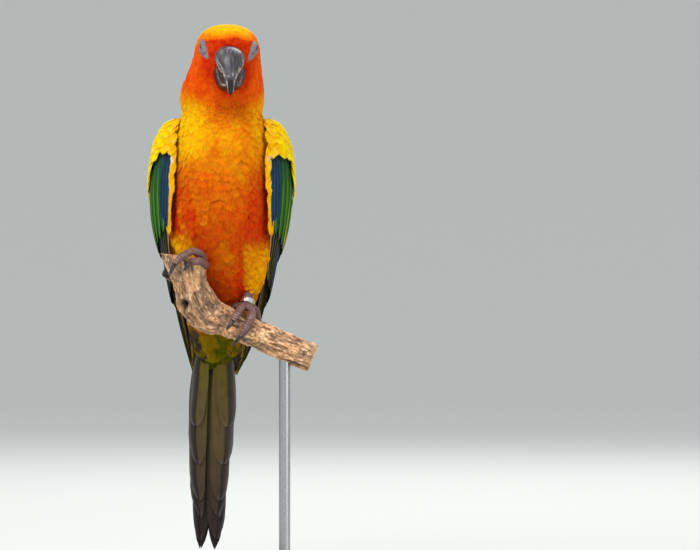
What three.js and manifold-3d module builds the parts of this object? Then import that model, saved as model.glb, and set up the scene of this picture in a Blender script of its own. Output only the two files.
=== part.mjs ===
// A sun conure asleep on a short cut length of branch, life size, held by a plain display stand.
// Millimetres, +Z up. The bird faces -Y, so its left side is at +X.
// The origin is the centre of the base's underside.

import * as THREE from "three";
import { mergeVertices } from "three/addons/utils/BufferGeometryUtils.js";
import Module from "manifold-3d";

const wasm = await Module();
wasm.setup();

// Driving dimensions
const GAP = 0.35; // between neighbouring pieces
const BODY_SIDES = 24;
const HEAD_AXIS = new THREE.Vector3(2.8, -12, 0); // the head turns about this upright line
const HEAD_TURN = THREE.MathUtils.degToRad(4.5); // towards the bird's left
const NECK_TOP_Z = 252;
const NECK_FOOT_Z = 240;
const TAIL_ROOT_Z = 140;
const EYE_Z = 282;
const EYE_BEARING = THREE.MathUtils.degToRad(49); // round from straight ahead
const EYE_SLANT = THREE.MathUtils.degToRad(43); // the opening leans back at its top
const EYE_RADIUS = 3.7;
const EYE_SUNK = 2.6; // the eye's centre, under the head's surface
const LID_THICK = 0.6;
const CERE_FRONT = 24.2; // ahead of the head's axis
const WING_TIP_Z = 108;
const VANE_THICK = 0.52;
const BASE_RADIUS = 62;
const BASE_HEIGHT = 10;
const ROD_RADIUS = 3;
const ROD_PLACE = new THREE.Vector2(33, -15.2);
const ROD_TOP_Z = 130; // inside the perch, which is cut out of it

const up = new THREE.Vector3(0, 0, 1);
const point = (x, y, z) => new THREE.Vector3(x, y, z);
const mix = (a, b, t) => a + (b - a) * t;
const mixAll = (a, b, t) => a.map((value, i) => mix(value, b[i], t));

// A table of [t, value, ...] rows, as a smooth function of t that passes through each row
function smooth(rows) {
  const slope = (i, k) => {
    const a = rows[Math.max(i - 1, 0)];
    const b = rows[Math.min(i + 1, rows.length - 1)];
    return (b[k] - a[k]) / (b[0] - a[0]);
  };
  return (t) => {
    const last = rows.length - 1;
    const inside = Math.min(Math.max(t, rows[0][0]), rows[last][0]);
    let i = 0;
    while (i < last - 1 && rows[i + 1][0] < inside) i++;
    const span = rows[i + 1][0] - rows[i][0];
    const s = (inside - rows[i][0]) / span;
    return rows[i].slice(1).map((value, n) => {
      const k = n + 1;
      const next = rows[i + 1][k];
      const rise = slope(i, k) * span;
      const fall = slope(i + 1, k) * span;
      const s2 = s * s;
      const s3 = s2 * s;
      return (
        (2 * s3 - 3 * s2 + 1) * value + (s3 - 2 * s2 + s) * rise
        + (3 * s2 - 2 * s3) * next + (s3 - s2) * fall
      );
    });
  };
}

// Solids and their booleans
function solidOf(geometry) {
  const bare = geometry.clone();
  for (const name of Object.keys(bare.attributes)) if (name !== "position") bare.deleteAttribute(name);
  const merged = mergeVertices(bare, 1e-4);
  const triVerts = new Uint32Array(merged.index.array);
  const mesh = { numProp: 3, vertProperties: merged.attributes.position.array, triVerts };
  const made = new wasm.Manifold(new wasm.Mesh(mesh));
  if (made.volume() > 0) return made;
  for (let i = 0; i < triVerts.length; i += 3) {
    [triVerts[i + 1], triVerts[i + 2]] = [triVerts[i + 2], triVerts[i + 1]];
  }
  return new wasm.Manifold(new wasm.Mesh(mesh));
}

function geometryOf(solid) {
  const mesh = solid.getMesh();
  const geometry = new THREE.BufferGeometry();
  geometry.setAttribute("position", new THREE.BufferAttribute(mesh.vertProperties, 3));
  geometry.setIndex(new THREE.BufferAttribute(mesh.triVerts, 1));
  return geometry;
}

const joined = (solids) => solids.reduce((a, b) => a.add(b));
const without = (solid, cutters) => cutters.reduce((a, b) => a.subtract(b), solid);

// The largest closed surface of a solid, which drops loose scraps
function whole(solid) {
  return solid.decompose().reduce((a, b) => (b.volume() > a.volume() ? b : a));
}

// A big block on one side of a plane, to cut with
function blockBeyond(at, normal, size = 400) {
  const block = new THREE.BoxGeometry(size, size, size);
  block.translate(0, 0, size / 2);
  const turn = new THREE.Quaternion().setFromUnitVectors(up, normal.clone().normalize());
  block.applyQuaternion(turn);
  block.translate(at.x, at.y, at.z);
  return solidOf(block);
}

// A closed skin over rings of equally many points, with a flat end at each end ring
function loft(rings) {
  const sides = rings[0].length;
  const middle = (ring) => ring.reduce((a, p) => a.add(p), point(0, 0, 0)).divideScalar(sides);
  const points = [...rings.flat(), middle(rings[0]), middle(rings.at(-1))];
  const faces = [];
  for (let j = 0; j < sides; j++) {
    const k = (j + 1) % sides;
    for (let i = 0; i + 1 < rings.length; i++) {
      const a = i * sides;
      const b = a + sides;
      faces.push(a + j, a + k, b + k, a + j, b + k, b + j);
    }
    const end = (rings.length - 1) * sides;
    faces.push(points.length - 2, k, j, points.length - 1, end + j, end + k);
  }
  const geometry = new THREE.BufferGeometry().setFromPoints(points);
  geometry.setIndex(faces);
  return solidOf(geometry);
}

// A round limb along a smooth curve through the given points; the radii are spread along it
function limb(path, radii, { steps = 8, sides = 8, grow = 0, shape = () => 1 } = {}) {
  const curve = new THREE.CatmullRomCurve3(path);
  const frames = curve.computeFrenetFrames(steps, false);
  const thickness = smooth(radii.map((r, i) => [i / (radii.length - 1), r]));
  const rings = [];
  for (let i = 0; i <= steps; i++) {
    const t = i / steps;
    const at = curve.getPointAt(t);
    const ring = [];
    for (let j = 0; j < sides; j++) {
      const turn = (2 * Math.PI * j) / sides;
      const r = thickness(t)[0] * shape(t, turn) + grow;
      const out = frames.normals[i].clone().multiplyScalar(Math.cos(turn) * r);
      out.addScaledVector(frames.binormals[i], Math.sin(turn) * r);
      ring.push(out.add(at));
    }
    rings.push(ring);
  }
  return loft(rings);
}

// A feather vane: a thin blade with the same diagonals on both faces, so that it never crosses itself
function vane(stations) {
  const points = [];
  const faces = [];
  stations.forEach(({ at, across, over, half, thick }, i) => {
    const side = across.clone().multiplyScalar(half);
    const rise = over.clone().multiplyScalar(thick / 2);
    points.push(at.clone().sub(side).add(rise), at.clone().add(side).add(rise));
    points.push(at.clone().sub(side).sub(rise), at.clone().add(side).sub(rise));
    if (i === 0) return;
    const a = (i - 1) * 4;
    const b = i * 4;
    faces.push(a, a + 1, b + 1, a, b + 1, b, a + 2, b + 3, a + 3, a + 2, b + 2, b + 3);
    faces.push(a, b, b + 2, a, b + 2, a + 2, a + 1, a + 3, b + 3, a + 1, b + 3, b + 1);
  });
  const e = points.length - 4;
  faces.push(0, 2, 3, 0, 3, 1, e, e + 1, e + 3, e, e + 3, e + 2);
  const geometry = new THREE.BufferGeometry().setFromPoints(points);
  geometry.setIndex(faces);
  return solidOf(geometry);
}

// From root to rounded tip: the share of a vane's length, of its breadth and of its rise
const FLIGHT_VANE = [[0, 0.45, 0], [0.32, 0.97, 0.68], [0.78, 0.95, 0.92], [0.94, 0.62, 0.98], [1, 0.2, 1]];
const COVERT_VANE = [[0, 0.5, 0], [0.4, 1, 0.68], [0.82, 0.84, 0.94], [1, 0.3, 1]];

// A small repeatable spread of values from -1 to 1, so that like feathers differ a little
const vary = (seed) => (((Math.sin(seed * 12.9898) * 43758.5453) % 1) + 1) % 1 * 2 - 1;

// The body, as level sections: how far the bird's middle line stands to its left at a height
const lean = smooth([
  [15, -9.3], [105, -5.2], [124, -3.3], [150, -1.9], [200, -0.8], [229, -0.2], [250, 0],
]);

// Height, half width, breast line and back line
const body = smooth([
  [106, 5, 25.4, 28], [110, 8.4, 23.4, 28.8], [116, 12, 17.5, 29.4], [126, 14.5, 7, 29.6],
  [138, 17, -2.5, 29], [150, 19.5, -11, 28], [162, 22, -20, 26.3], [174, 24.2, -28.5, 24.4],
  [186, 25.4, -35, 22.4], [199, 25.8, -38.2, 20.6], [214, 25.6, -39, 18.8], [229, 25.2, -37.5, 17.3],
  [239, 24.3, -35, 16.3], [245, 22.6, -32.5, 15.9], [250, 21, -31, 15.5], [258, 18, -28, 14],
]);

// An oval of BODY_SIDES points, a little squarer than an ellipse
function oval(cx, cy, z, half, front, back) {
  const ring = [];
  const squarer = (v) => Math.sign(v) * Math.abs(v) ** 0.93;
  for (let i = 0; i < BODY_SIDES; i++) {
    const turn = (2 * Math.PI * i) / BODY_SIDES;
    const ahead = squarer(Math.cos(turn));
    ring.push(point(cx + half * squarer(Math.sin(turn)), cy - ahead * (ahead > 0 ? front : back), z));
  }
  return ring;
}

function bodyForm(grow = 0) {
  const heights = [106, 112, 124, 137, 148, 159, 169, 179, 190, 202, 216, 230, 240, 248, 258];
  return loft(heights.map((z, i) => {
    const [half, breast, back] = body(z);
    const depth = (back - breast) / 2 + grow;
    const end = i === 0 ? -grow : i === heights.length - 1 ? grow : 0;
    return oval(lean(z)[0], (back + breast) / 2, z + end, half + grow, depth, depth);
  }));
}

// The head, as level sections about its axis: height, half width, reach ahead and behind, sideways shift
const headSizes = smooth([
  [243, 17, 15, 21.5, -2.8], [250, 21.3, 19, 26.5, -2.8], [256, 22.6, 20.5, 27.5, -2.8],
  [262, 21.6, 22, 27.2, -2.4], [270, 19.6, 22.5, 26.4, -1.4], [276, 18.1, 22.5, 25.2, -0.5],
  [282, 17.2, 22, 23, 0], [286, 16.3, 20, 20.6, 0], [290, 14.4, 16, 16.8, 0],
  [293, 11.4, 11.6, 12.5, 0], [295, 7, 7, 7.6, 0], [295.8, 2, 2, 2.4, 0],
]);

// From the head's own frame (x to its left, ahead, z) to the part's
function onHead(x, ahead, z) {
  const turned = point(x, -ahead, 0).applyAxisAngle(up, HEAD_TURN);
  return point(HEAD_AXIS.x + turned.x, HEAD_AXIS.y + turned.y, z);
}

const headWay = (x, ahead, z) => point(x, -ahead, z).applyAxisAngle(up, HEAD_TURN).normalize();

function headForm(grow = 0) {
  const heights = [243, 248, 254, 260, 266, 272, 278, 283, 287, 290.2, 292.8, 294.8, 295.7];
  return loft(heights.map((z, i) => {
    const [half, front, back, shift] = headSizes(z);
    const end = i === 0 ? -grow : i === heights.length - 1 ? grow : 0;
    const ring = oval(0, 0, 0, half + grow, front + grow, back + grow);
    return ring.map((p) => {
      const at = onHead(p.x, -p.y, z + end);
      at.x += shift;
      return at;
    });
  }));
}

// The upper mandible, from base to hooked tip: ridge ahead and z, cutting edge ahead and z, half width
const billUpper = smooth([
  [0, 16, 281.6, 16, 271, 7.2], [1, 22.5, 282.2, 22.5, 270.6, 7.5], [2, 28, 281.6, 26.6, 268.8, 7.7],
  [3, 32.8, 278.2, 29.4, 266.8, 7.3], [4, 35.7, 273.2, 31, 264.8, 6.3], [5, 36.7, 268, 32.2, 262.6, 5],
  [6, 36.4, 263.2, 33, 260, 3.7], [7, 35.5, 259.4, 33.6, 258, 2.2], [8, 34.5, 257, 33.9, 256.6, 0.7],
]);

function billUpperForm(grow = 0) {
  const rings = [];
  for (const t of [0, 1, 1.7, 2.4, 3.1, 3.8, 4.5, 5.2, 6, 6.8, 7.5, 8]) {
    const [ridgeAhead, ridgeZ, edgeAhead, edgeZ, half] = billUpper(t);
    const ridge = new THREE.Vector2(ridgeAhead, ridgeZ);
    const edge = new THREE.Vector2(edgeAhead, edgeZ);
    const middle = ridge.clone().add(edge).divideScalar(2);
    const reach = ridge.clone().sub(middle);
    reach.setLength(reach.length() + grow);
    const ring = [];
    for (let j = 0; j < 14; j++) {
      const turn = (2 * Math.PI * j) / 14;
      const high = Math.cos(turn);
      const wide = Math.sin(turn) * (high < 0 ? 1 - 0.12 * high * high : 1);
      const at = middle.clone().addScaledVector(reach, high);
      ring.push(onHead(wide * (half + grow), at.x, at.y));
    }
    rings.push(ring);
  }
  return loft(rings);
}

// The lower mandible, as level sections: height, front, back and half width
const billLower = smooth([
  [259.3, 26.5, 17, 2.6], [261, 29.6, 14, 5.6], [264, 30.9, 12.5, 7.3], [268, 30, 12, 8.1],
  [273, 27, 12, 7.9],
]);

function billLowerForm(grow = 0) {
  return loft([259.3, 260.3, 262, 265, 269, 273].map((z, i) => {
    const [front, back, half] = billLower(z);
    const ring = [];
    for (let j = 0; j < 14; j++) {
      const turn = (2 * Math.PI * j) / 14;
      const ahead = (front + back) / 2 + ((front - back) / 2 + grow) * Math.cos(turn);
      ring.push(onHead((half + grow) * Math.sin(turn), ahead, z + (i === 0 ? -grow : 0)));
    }
    return ring;
  }));
}

// Where an eye sits: a point of the head's surface, the way it looks, and the long way of its opening
function eyePlace(side) {
  const [half, front] = headSizes(EYE_Z);
  const x = side * half * Math.sin(EYE_BEARING);
  const ahead = front * Math.cos(EYE_BEARING);
  const out = headWay(x / half ** 2, ahead / front ** 2, 0.006);
  const level = up.clone().cross(out).multiplyScalar(side).normalize(); // towards the back of the head
  const long = out.clone().cross(level).multiplyScalar(side).multiplyScalar(Math.cos(EYE_SLANT));
  long.addScaledVector(level, Math.sin(EYE_SLANT));
  return { at: onHead(x, ahead, EYE_Z), out, level, long, wide: long.clone().cross(out) };
}

function eyeBall({ at, out }, radius) {
  const ball = new THREE.SphereGeometry(radius, 10, 6);
  const middle = at.clone().addScaledVector(out, -EYE_SUNK);
  ball.translate(middle.x, middle.y, middle.z);
  return solidOf(ball);
}

// A drop-shaped column that stands through the head's surface, its narrow end towards the bill
function eyeColumn({ at, out, level, long, wide }, grow = 0) {
  const ring = (depth) => {
    const made = [];
    for (let j = 0; j < 12; j++) {
      const turn = (2 * Math.PI * j) / 12;
      const high = Math.sin(turn);
      const p = at.clone().addScaledVector(out, depth).addScaledVector(level, 0.9);
      p.addScaledVector(long, (6.4 + grow) * high - 0.9);
      made.push(p.addScaledVector(wide, (3.9 + grow) * (1 + 0.22 * high) * Math.cos(turn)));
    }
    return made;
  };
  return loft([ring(-1.4 - grow), ring(4)]);
}

// The slit between the closed lids
function eyeSlit({ at, out, long, wide }) {
  const slit = new THREE.BoxGeometry(0.75, 5.4, 6);
  slit.applyMatrix4(new THREE.Matrix4().makeBasis(wide, long, out));
  const middle = at.clone().addScaledVector(out, 3);
  slit.translate(middle.x, middle.y, middle.z);
  return solidOf(slit);
}

// The folded wing, as level sections: height, front edge x and y, rear edge x and y, and widest x
const wingSizes = smooth([
  [106, 13.6, 28, 8.6, 34, 14.2], [112, 14.6, 25, 7.6, 34.8, 15.8], [120, 16, 21, 6.4, 35.4, 18],
  [130, 18, 15, 5.4, 35.3, 20.8], [140, 20, 8, 5, 34.5, 23.7], [150, 22.2, 0, 5.2, 33.4, 26.1],
  [160, 24, -7, 6, 32, 28.3], [171, 25.2, -15, 7.2, 30.4, 30.6], [182, 26, -21, 8.6, 28.8, 34.1],
  [192, 26.2, -24.5, 10, 27, 36.4], [203, 26.2, -26.5, 11.6, 25, 37.9], [213, 26, -27, 12.6, 23, 38.3],
  [221, 25.8, -26.5, 13.2, 21, 37.8], [229, 25.4, -24.8, 14, 18.4, 36.7], [235, 25, -22.4, 15, 15, 35.1],
  [240, 24.6, -19, 16.4, 10.5, 32.6], [244, 23.8, -15, 18, 5, 29.4], [247, 22.6, -10.5, 19.6, -1, 25.6],
]);

// A place on the folded wing: v runs from the front edge, 0, to the rear edge, 1
function wingFlat(side, z, v) {
  const [frontX, frontY, rearX, rearY, widest] = wingSizes(z);
  const pull = (widest - (frontX + rearX) / 8) / 0.75;
  const w = 1 - v;
  const x = w ** 3 * frontX + 3 * w * v * pull + v ** 3 * rearX;
  const nearFront = 3 * w * w * v * mix(frontY, rearY, 0.12);
  const nearRear = 3 * w * v * v * mix(frontY, rearY, 0.88);
  const y = w ** 3 * frontY + nearFront + nearRear + v ** 3 * rearY;
  return point(lean(z)[0] + side * x, y, z);
}

function wingFrame(side, z, v) {
  const step = 0.01;
  const across = wingFlat(side, z, v + step).sub(wingFlat(side, z, v - step)).normalize();
  const along = wingFlat(side, z - 1, v).sub(wingFlat(side, z + 1, v)).normalize();
  const over = along.clone().cross(across).multiplyScalar(side).normalize();
  return { across, over };
}

function wingAt(side, z, v, lift) {
  return wingFlat(side, z, v).addScaledVector(wingFrame(side, z, v).over, lift);
}

// One feather of the wing, from its root to its tip, both as [height, v, lift]; the tilt dips its rear edge
function wingVane(side, root, tip, breadth, outline, tilt) {
  return vane(outline.map(([t, share, rise]) => {
    const [z, v] = mixAll(root, tip, t);
    const { across, over } = wingFrame(side, z, v);
    return {
      at: wingFlat(side, z, v).addScaledVector(over, mix(root[2], tip[2], rise)),
      across: across.clone().addScaledVector(over, -tilt).normalize(),
      over: over.clone().addScaledVector(across, tilt).normalize(),
      half: (breadth / 2) * share,
      thick: VANE_THICK * mix(1, 0.7, t),
    };
  }));
}

// The arm, the hand and the flesh under the coverts
function wingCore(side) {
  const heights = [246, 242, 236, 226, 212, 196, 180, 168];
  const steps = 6;
  return loft(heights.map((z) => {
    const below = mix(0.3, 1, THREE.MathUtils.smoothstep(z, 160, 198));
    const deep = below * mix(1, 0.4, THREE.MathUtils.smoothstep(z, 236, 246));
    const ring = [];
    for (let i = 0; i <= steps; i++) ring.push(wingAt(side, z, mix(0.03, 0.93, i / steps), -1.7));
    for (let i = steps - 1; i > 0; i--) {
      const v = mix(0.03, 0.93, i / steps);
      ring.push(wingAt(side, z, v, -1.7 - (1.6 + 9.5 * Math.sin(Math.PI * v)) * deep));
    }
    return ring;
  }));
}

// The wing's rows of feathers, from the deepest to the topmost. Each runs from its foremost to its
// rearmost feather: root and tip as [height, v, lift], breadth, outline, and how the tips spread
const wingRows = [
  // primaries, stacked with the outermost deepest
  { count: 7, roots: [[196, 0.17, -8], [190, 0.42, -3.8]], tips: [[WING_TIP_Z, 0.28, -4], [146, 0.5, -1.7]],
    breadths: [7.6, 8], outline: FLIGHT_VANE, spread: 1.5 },
  // secondaries
  { count: 7, roots: [[200, 0.3, -3], [200, 0.9, -3]], tips: [[150, 0.34, -0.7], [139, 0.88, -0.7]],
    breadths: [8.6, 7.6], outline: FLIGHT_VANE, spread: 1 },
  // greater coverts, broad and green
  { count: 7, roots: [[219, 0.22, -3], [207, 0.86, -3]], tips: [[172, 0.15, 0], [163, 0.84, 0]],
    breadths: [8.2, 8.2], outline: COVERT_VANE, spread: 1 },
  // primary coverts, narrow and blue, along the front edge
  { count: 3, roots: [[224, 0.09, -3], [222, 0.19, -3]], tips: [[188, 0.05, 0], [185, 0.13, 0.3]],
    breadths: [4, 4.2], outline: COVERT_VANE, spread: 1 },
  // marginal coverts, down the front edge
  { count: 3, roots: [[229, 0.05, -2.6], [200, 0.05, -2.6]], tips: [[211, 0.01, 0.1], [181, 0.01, 0.1]],
    breadths: [4, 4], outline: COVERT_VANE, spread: 1 },
  // median coverts
  { count: 6, roots: [[236, 0.12, -3], [222, 0.88, -3]], tips: [[220, 0.12, 0.2], [194, 0.86, 0.2]],
    breadths: [8.6, 9.4], outline: COVERT_VANE, spread: 1 },
  // lesser coverts
  { count: 4, roots: [[245.5, 0.18, -3], [240, 0.82, -3]], tips: [[229, 0.16, 0.3], [212, 0.82, 0.3]],
    breadths: [10.6, 11], outline: COVERT_VANE, spread: 1 },
];

function wingVanes(side) {
  return wingRows.flatMap(({ count, roots, tips, breadths, outline, spread }, row) => {
    const place = (i, t) => {
      const s = i / (count - 1);
      const root = mixAll(roots[0], roots[1], s);
      const tip = mixAll(tips[0], tips[1], s);
      tip[0] = mix(tips[0][0], tips[1][0], s ** spread);
      return { root, tip, middle: wingFlat(side, ...mixAll(root, tip, t).slice(0, 2)) };
    };
    return Array.from({ length: count }, (_, i) => {
      const { root, tip, middle } = place(i, 0.8);
      const pitch = middle.distanceTo(place(i + (i + 1 < count ? 1 : -1), 0.8).middle);
      const tilt = Math.min(0.35, (VANE_THICK + GAP) / pitch);
      const ragged = [tip[0] + vary(i + row * 7) * 1.2, tip[1], tip[2]];
      return wingVane(side, root, ragged, mix(breadths[0], breadths[1], i / (count - 1)), outline, tilt);
    });
  });
}

// The tail's own frame: its middle line runs from the root to the tip, and its upper side faces back
const tailRoot = point(-4.6, 15.5, 136);
const tailTip = point(-9.7, 44, 15);
const tailWay = tailTip.clone().sub(tailRoot).normalize();
const tailAcross = point(1, 0, 0).addScaledVector(tailWay, -tailWay.x).normalize();
const tailOver = tailAcross.clone().cross(tailWay).normalize();

// A place on the tail at a height: off to one side of its middle line and above its middle sheet
function tailAt(z, off, over) {
  const t = (z - tailRoot.z) / (tailTip.z - tailRoot.z);
  return tailRoot.clone().lerp(tailTip, t).addScaledVector(tailAcross, off).addScaledVector(tailOver, over);
}

// Per pair, from the middle one out: tip height, sideways place at the tip, and breadth
const tailPairs = [
  [15, 3.9, 9.2], [20, 4.3, 10.4], [33, 4.7, 9.6], [42, 5.5, 10.4], [62, 6.7, 11.2], [83, 8.6, 10],
];
const TAIL_DIVIDE = -2.4; // the bird's left half lies under the right one, this far past the middle line

function tailVane(side, pair) {
  const [tipZ, tipOff, fullBreadth] = tailPairs[pair];
  const breadth = side < 0 && pair > 1 ? fullBreadth * 0.86 : fullBreadth;
  const over = pair < 2 ? 3 - pair * 1.4 - (side > 0 ? 0.7 : 0) : -pair * 0.9 + 1.6;
  return vane(FLIGHT_VANE.map(([t, share]) => {
    const half = (breadth / 2) * share;
    const off = side * mix(1.4 + pair * 0.8, tipOff, t);
    const inner = TAIL_DIVIDE + side * (half + GAP / 2);
    const clear = side > 0 ? Math.max(off, inner) : Math.min(off, inner);
    return {
      at: tailAt(mix(128, tipZ, t), pair < 2 ? off : clear, over),
      across: tailAcross.clone().addScaledVector(tailOver, -side * 0.06).normalize(),
      over: tailOver.clone().addScaledVector(tailAcross, side * 0.06).normalize(),
      half,
      thick: VANE_THICK * mix(1, 0.7, t),
    };
  }));
}

// The coverts over and under the tail's root: off is their place across, face is +1 above and -1 below
function tailCovert(off, face, rootZ, tipZ) {
  return vane(COVERT_VANE.map(([t, share, rise]) => {
    const z = mix(rootZ, tipZ, t);
    const [half, under, top] = body(z);
    const turn = Math.asin(Math.min(0.95, Math.abs(off) / (half + 2.5))) * Math.sign(off);
    const y = (under + top) / 2 + face * ((top - under) / 2) * Math.cos(turn);
    const over = point(Math.sin(turn), face * Math.cos(turn), 0.1).normalize();
    const onBody = point(lean(z)[0] + off, y, z).addScaledVector(over, mix(-2, 1.2, rise));
    const onTail = tailAt(z, off * 0.9, face * 4.4);
    return {
      at: onTail.lerp(onBody, THREE.MathUtils.smoothstep(z, 110, 124)),
      across: point(Math.cos(turn), -face * Math.sin(turn), 0),
      over,
      half: 4.2 * share,
      thick: VANE_THICK,
    };
  }));
}

function tailSolid() {
  const made = [-1, 1].flatMap((side) => tailPairs.map((_, pair) => tailVane(side, pair)));
  for (const [face, tipZ, length] of [[1, 92, 32], [-1, 114, 20]]) {
    for (const i of [-1.5, -0.5, 0.5, 1.5]) {
      const tip = tipZ + Math.abs(i) * 4;
      made.push(tailCovert(i * 5, face, tip + length, tip + vary(i) * 1.5));
    }
    for (const i of [-1, 0, 1]) {
      const tip = tipZ + 11 + Math.abs(i) * 3;
      made.push(tailCovert(i * 6.4, face, tip + length * 0.8, tip));
    }
  }
  return joined(made);
}

// The perch: a broken elbow of branch at the bird's right, running down to a clean saw cut at its left
const perchPath = [
  point(-22, -36, 182), point(-19.2, -33, 172.3), point(-16.8, -30.5, 163.4), point(-15.3, -27.5, 155.5),
  point(-12.6, -24, 148.7), point(-6.3, -20, 142.4), point(1.6, -17.5, 139.2), point(17.4, -15.5, 132.4),
  point(33, -15.2, 125.8), point(48, -15, 119.5),
];
const perchRadii = [11, 10.4, 8.8, 8.9, 9.9, 9.6, 8.2, 7.7, 7.3, 7];

function perchForm(grow = 0) {
  const knots = (t, turn) => 1 + 0.05 * Math.sin(2 * turn + 9 * t) + 0.03 * Math.sin(5 * turn - 14 * t);
  const wood = limb(perchPath, perchRadii, { steps: 15, sides: 10, grow, shape: knots });
  const breakFace = point(0.16, -0.03, 0.95).normalize();
  const breakAt = point(-19.2, -33, 173.2).addScaledVector(breakFace, grow);
  const stump = without(wood, [blockBeyond(breakAt, breakFace)]);
  const shardPath = [point(-20, -33, 163), point(-25, -34, 169.5), point(-29.6, -34.5, 173.6)];
  const shard = limb(shardPath, [6, 4.4, 0.8], { steps: 4, grow });
  return stump.add(shard);
}

// The legs, by side: the thigh's feathers, the shank, and the toes from the foot's middle to each claw
const legs = {
  left: {
    thigh: [[17, -8, 192], [17.8, -10, 176], [16.8, -10.6, 163], [14.2, -10.2, 152.4]],
    thighRadii: [8, 8.8, 6.2, 4.2],
    shank: [[14.4, -9, 156], [13.8, -11, 152], [13.2, -13.6, 148]],
    toes: [
      [[12.6, -13.6, 147], [8.6, -10.8, 146.8], [4.6, -7.4, 144.6], [3, -5.4, 140.5]],
      [[12.2, -15.4, 147], [10.8, -20.5, 146.4], [8.7, -25.6, 143.6], [6.1, -28.8, 139.3]],
      [[13.6, -15.6, 147.2], [16, -21.8, 142.8], [13.4, -27, 136], [10.5, -27, 131.7]],
      [[14.6, -13.4, 147], [17.6, -9.4, 144.2], [18.6, -6, 139.6], [18, -5.6, 135.4]],
    ],
    claws: [[[2.4, -5, 137.6], [2, -6, 134.6]], [[4.5, -29.6, 137], [2.7, -29.4, 134.4]],
      [[8.2, -26.9, 129], [5.4, -25, 126.3]], [[17.4, -6.4, 132.4], [16.6, -8.4, 129.8]]],
  },
  right: {
    thigh: [[-17, -6, 196], [-18, -12.5, 184], [-16.5, -17, 176.5], [-14, -18.6, 172.6]],
    thighRadii: [8, 9.4, 6.8, 4.6],
    shank: [[-14.6, -17.4, 174.6], [-12.2, -20.6, 171.6], [-9.4, -24.2, 168.8]],
    toes: [
      [[-9.4, -23.6, 168], [-11, -19.4, 164.4], [-14.4, -17.2, 160], [-17.4, -16.8, 156.4]],
      [[-9, -25.6, 168.2], [-8.2, -32.8, 168.6], [-10.6, -40, 170.6], [-15.6, -44.4, 169.9]],
      [[-9.4, -25, 169.2], [-9.4, -31.5, 172.6], [-14, -38.8, 175.6], [-19.4, -43.8, 173.2],
        [-23.4, -44.6, 169.2]],
      [[-10, -23, 167.4], [-17, -19.4, 165.4], [-25, -22, 162.6], [-28.2, -29.4, 162.6]],
    ],
    claws: [[[-19.4, -17.6, 154], [-20.2, -19, 151.6]], [[-17.2, -44.6, 168], [-19.2, -43.4, 165.2]],
      [[-25, -44, 166.4], [-26.6, -41.6, 163.4]], [[-29.8, -32.4, 163.8], [-28.6, -35.6, 167.2]]],
  },
};
const TOE_RADII = [2.4, 2.15, 2, 1.6];
const CLAW_RADII = [1.2, 0.95, 0.25];

const points = (rows) => rows.map(([x, y, z]) => point(x, y, z));

const thighForm = (leg, grow = 0) => limb(points(leg.thigh), leg.thighRadii, { steps: 7, sides: 14, grow });

// A toe's plump end meets its claw at a cut across the toe
function toeAndClaw(toe, claw, grow = 0) {
  const end = toe.at(-1);
  const way = claw[0].clone().sub(end).normalize();
  const cut = blockBeyond(end, way);
  const toeForm = limb(toe, TOE_RADII, { steps: 6, sides: 6, grow }).subtract(cut);
  const root = end.clone().addScaledVector(way, GAP);
  return { toeForm, clawForm: limb([root, ...claw], CLAW_RADII, { steps: 4, sides: 6 }) };
}

// The leg band: a closed metal ring that hangs loose on the left shank
const RING_MIDDLE = point(13.2, -12.6, 148.9);
function legRing(grow = 0) {
  const inner = 3 - grow;
  const outer = 3.8 + grow;
  const half = 1.3 + grow;
  const profile = [[inner, -half], [outer, -half], [outer, half], [inner, half], [inner, -half]];
  const ring = new THREE.LatheGeometry(profile.map(([x, y]) => new THREE.Vector2(x, y)), 20);
  const axis = point(0.17, 0.5, 0.85).normalize();
  ring.applyQuaternion(new THREE.Quaternion().setFromUnitVectors(point(0, 1, 0), axis));
  ring.translate(RING_MIDDLE.x, RING_MIDDLE.y, RING_MIDDLE.z);
  return solidOf(ring);
}

// The pieces' colours
const group = new THREE.Group();
const looks = {
  yellow: { color: 0xf5b400, roughness: 0.8 },
  orange: { color: 0xf07800, roughness: 0.8 },
  green: { color: 0x1f6b1c, roughness: 0.7 },
  olive: { color: 0x6b6650, roughness: 0.7 },
  lids: { color: 0xa9a6ab, roughness: 0.7 },
  eye: { color: 0x120c08, roughness: 0.1 },
  horn: { color: 0x2e2b2f, roughness: 0.4 },
  cere: { color: 0x77727a, roughness: 0.6 },
  foot: { color: 0x8a5f5c, roughness: 0.7 },
  metal: { color: 0xb9bcc0, roughness: 0.3, metalness: 1 },
  bark: { color: 0xb98f68, roughness: 0.9 },
  steel: { color: 0x8d9094, roughness: 0.35, metalness: 1 },
  wood: { color: 0x2c2522, roughness: 0.5 },
};

function put(name, solid, look) {
  const mesh = new THREE.Mesh(geometryOf(whole(solid)), new THREE.MeshStandardMaterial(looks[look]));
  mesh.name = name;
  group.add(mesh);
}

// Whole forms, and the same forms grown by the gap, to cut their neighbours with
const bodyWhole = bodyForm();
const bodyGrown = bodyForm(GAP);
const headGrown = headForm(GAP);
const perchGrown = perchForm(GAP);
const tailFace = tailWay.clone().negate();
const tailCut = point(lean(TAIL_ROOT_Z)[0], 16, TAIL_ROOT_Z);
const aboveTail = blockBeyond(tailCut, tailFace);
const belowTorso = blockBeyond(tailCut.clone().addScaledVector(up, GAP), tailWay);
const rumpGrown = without(bodyGrown, [belowTorso]);
const aboveNeckFoot = blockBeyond(point(0, 0, NECK_FOOT_Z), up);
const belowNeck = blockBeyond(point(0, 0, NECK_FOOT_Z + GAP), up.clone().negate());

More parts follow.
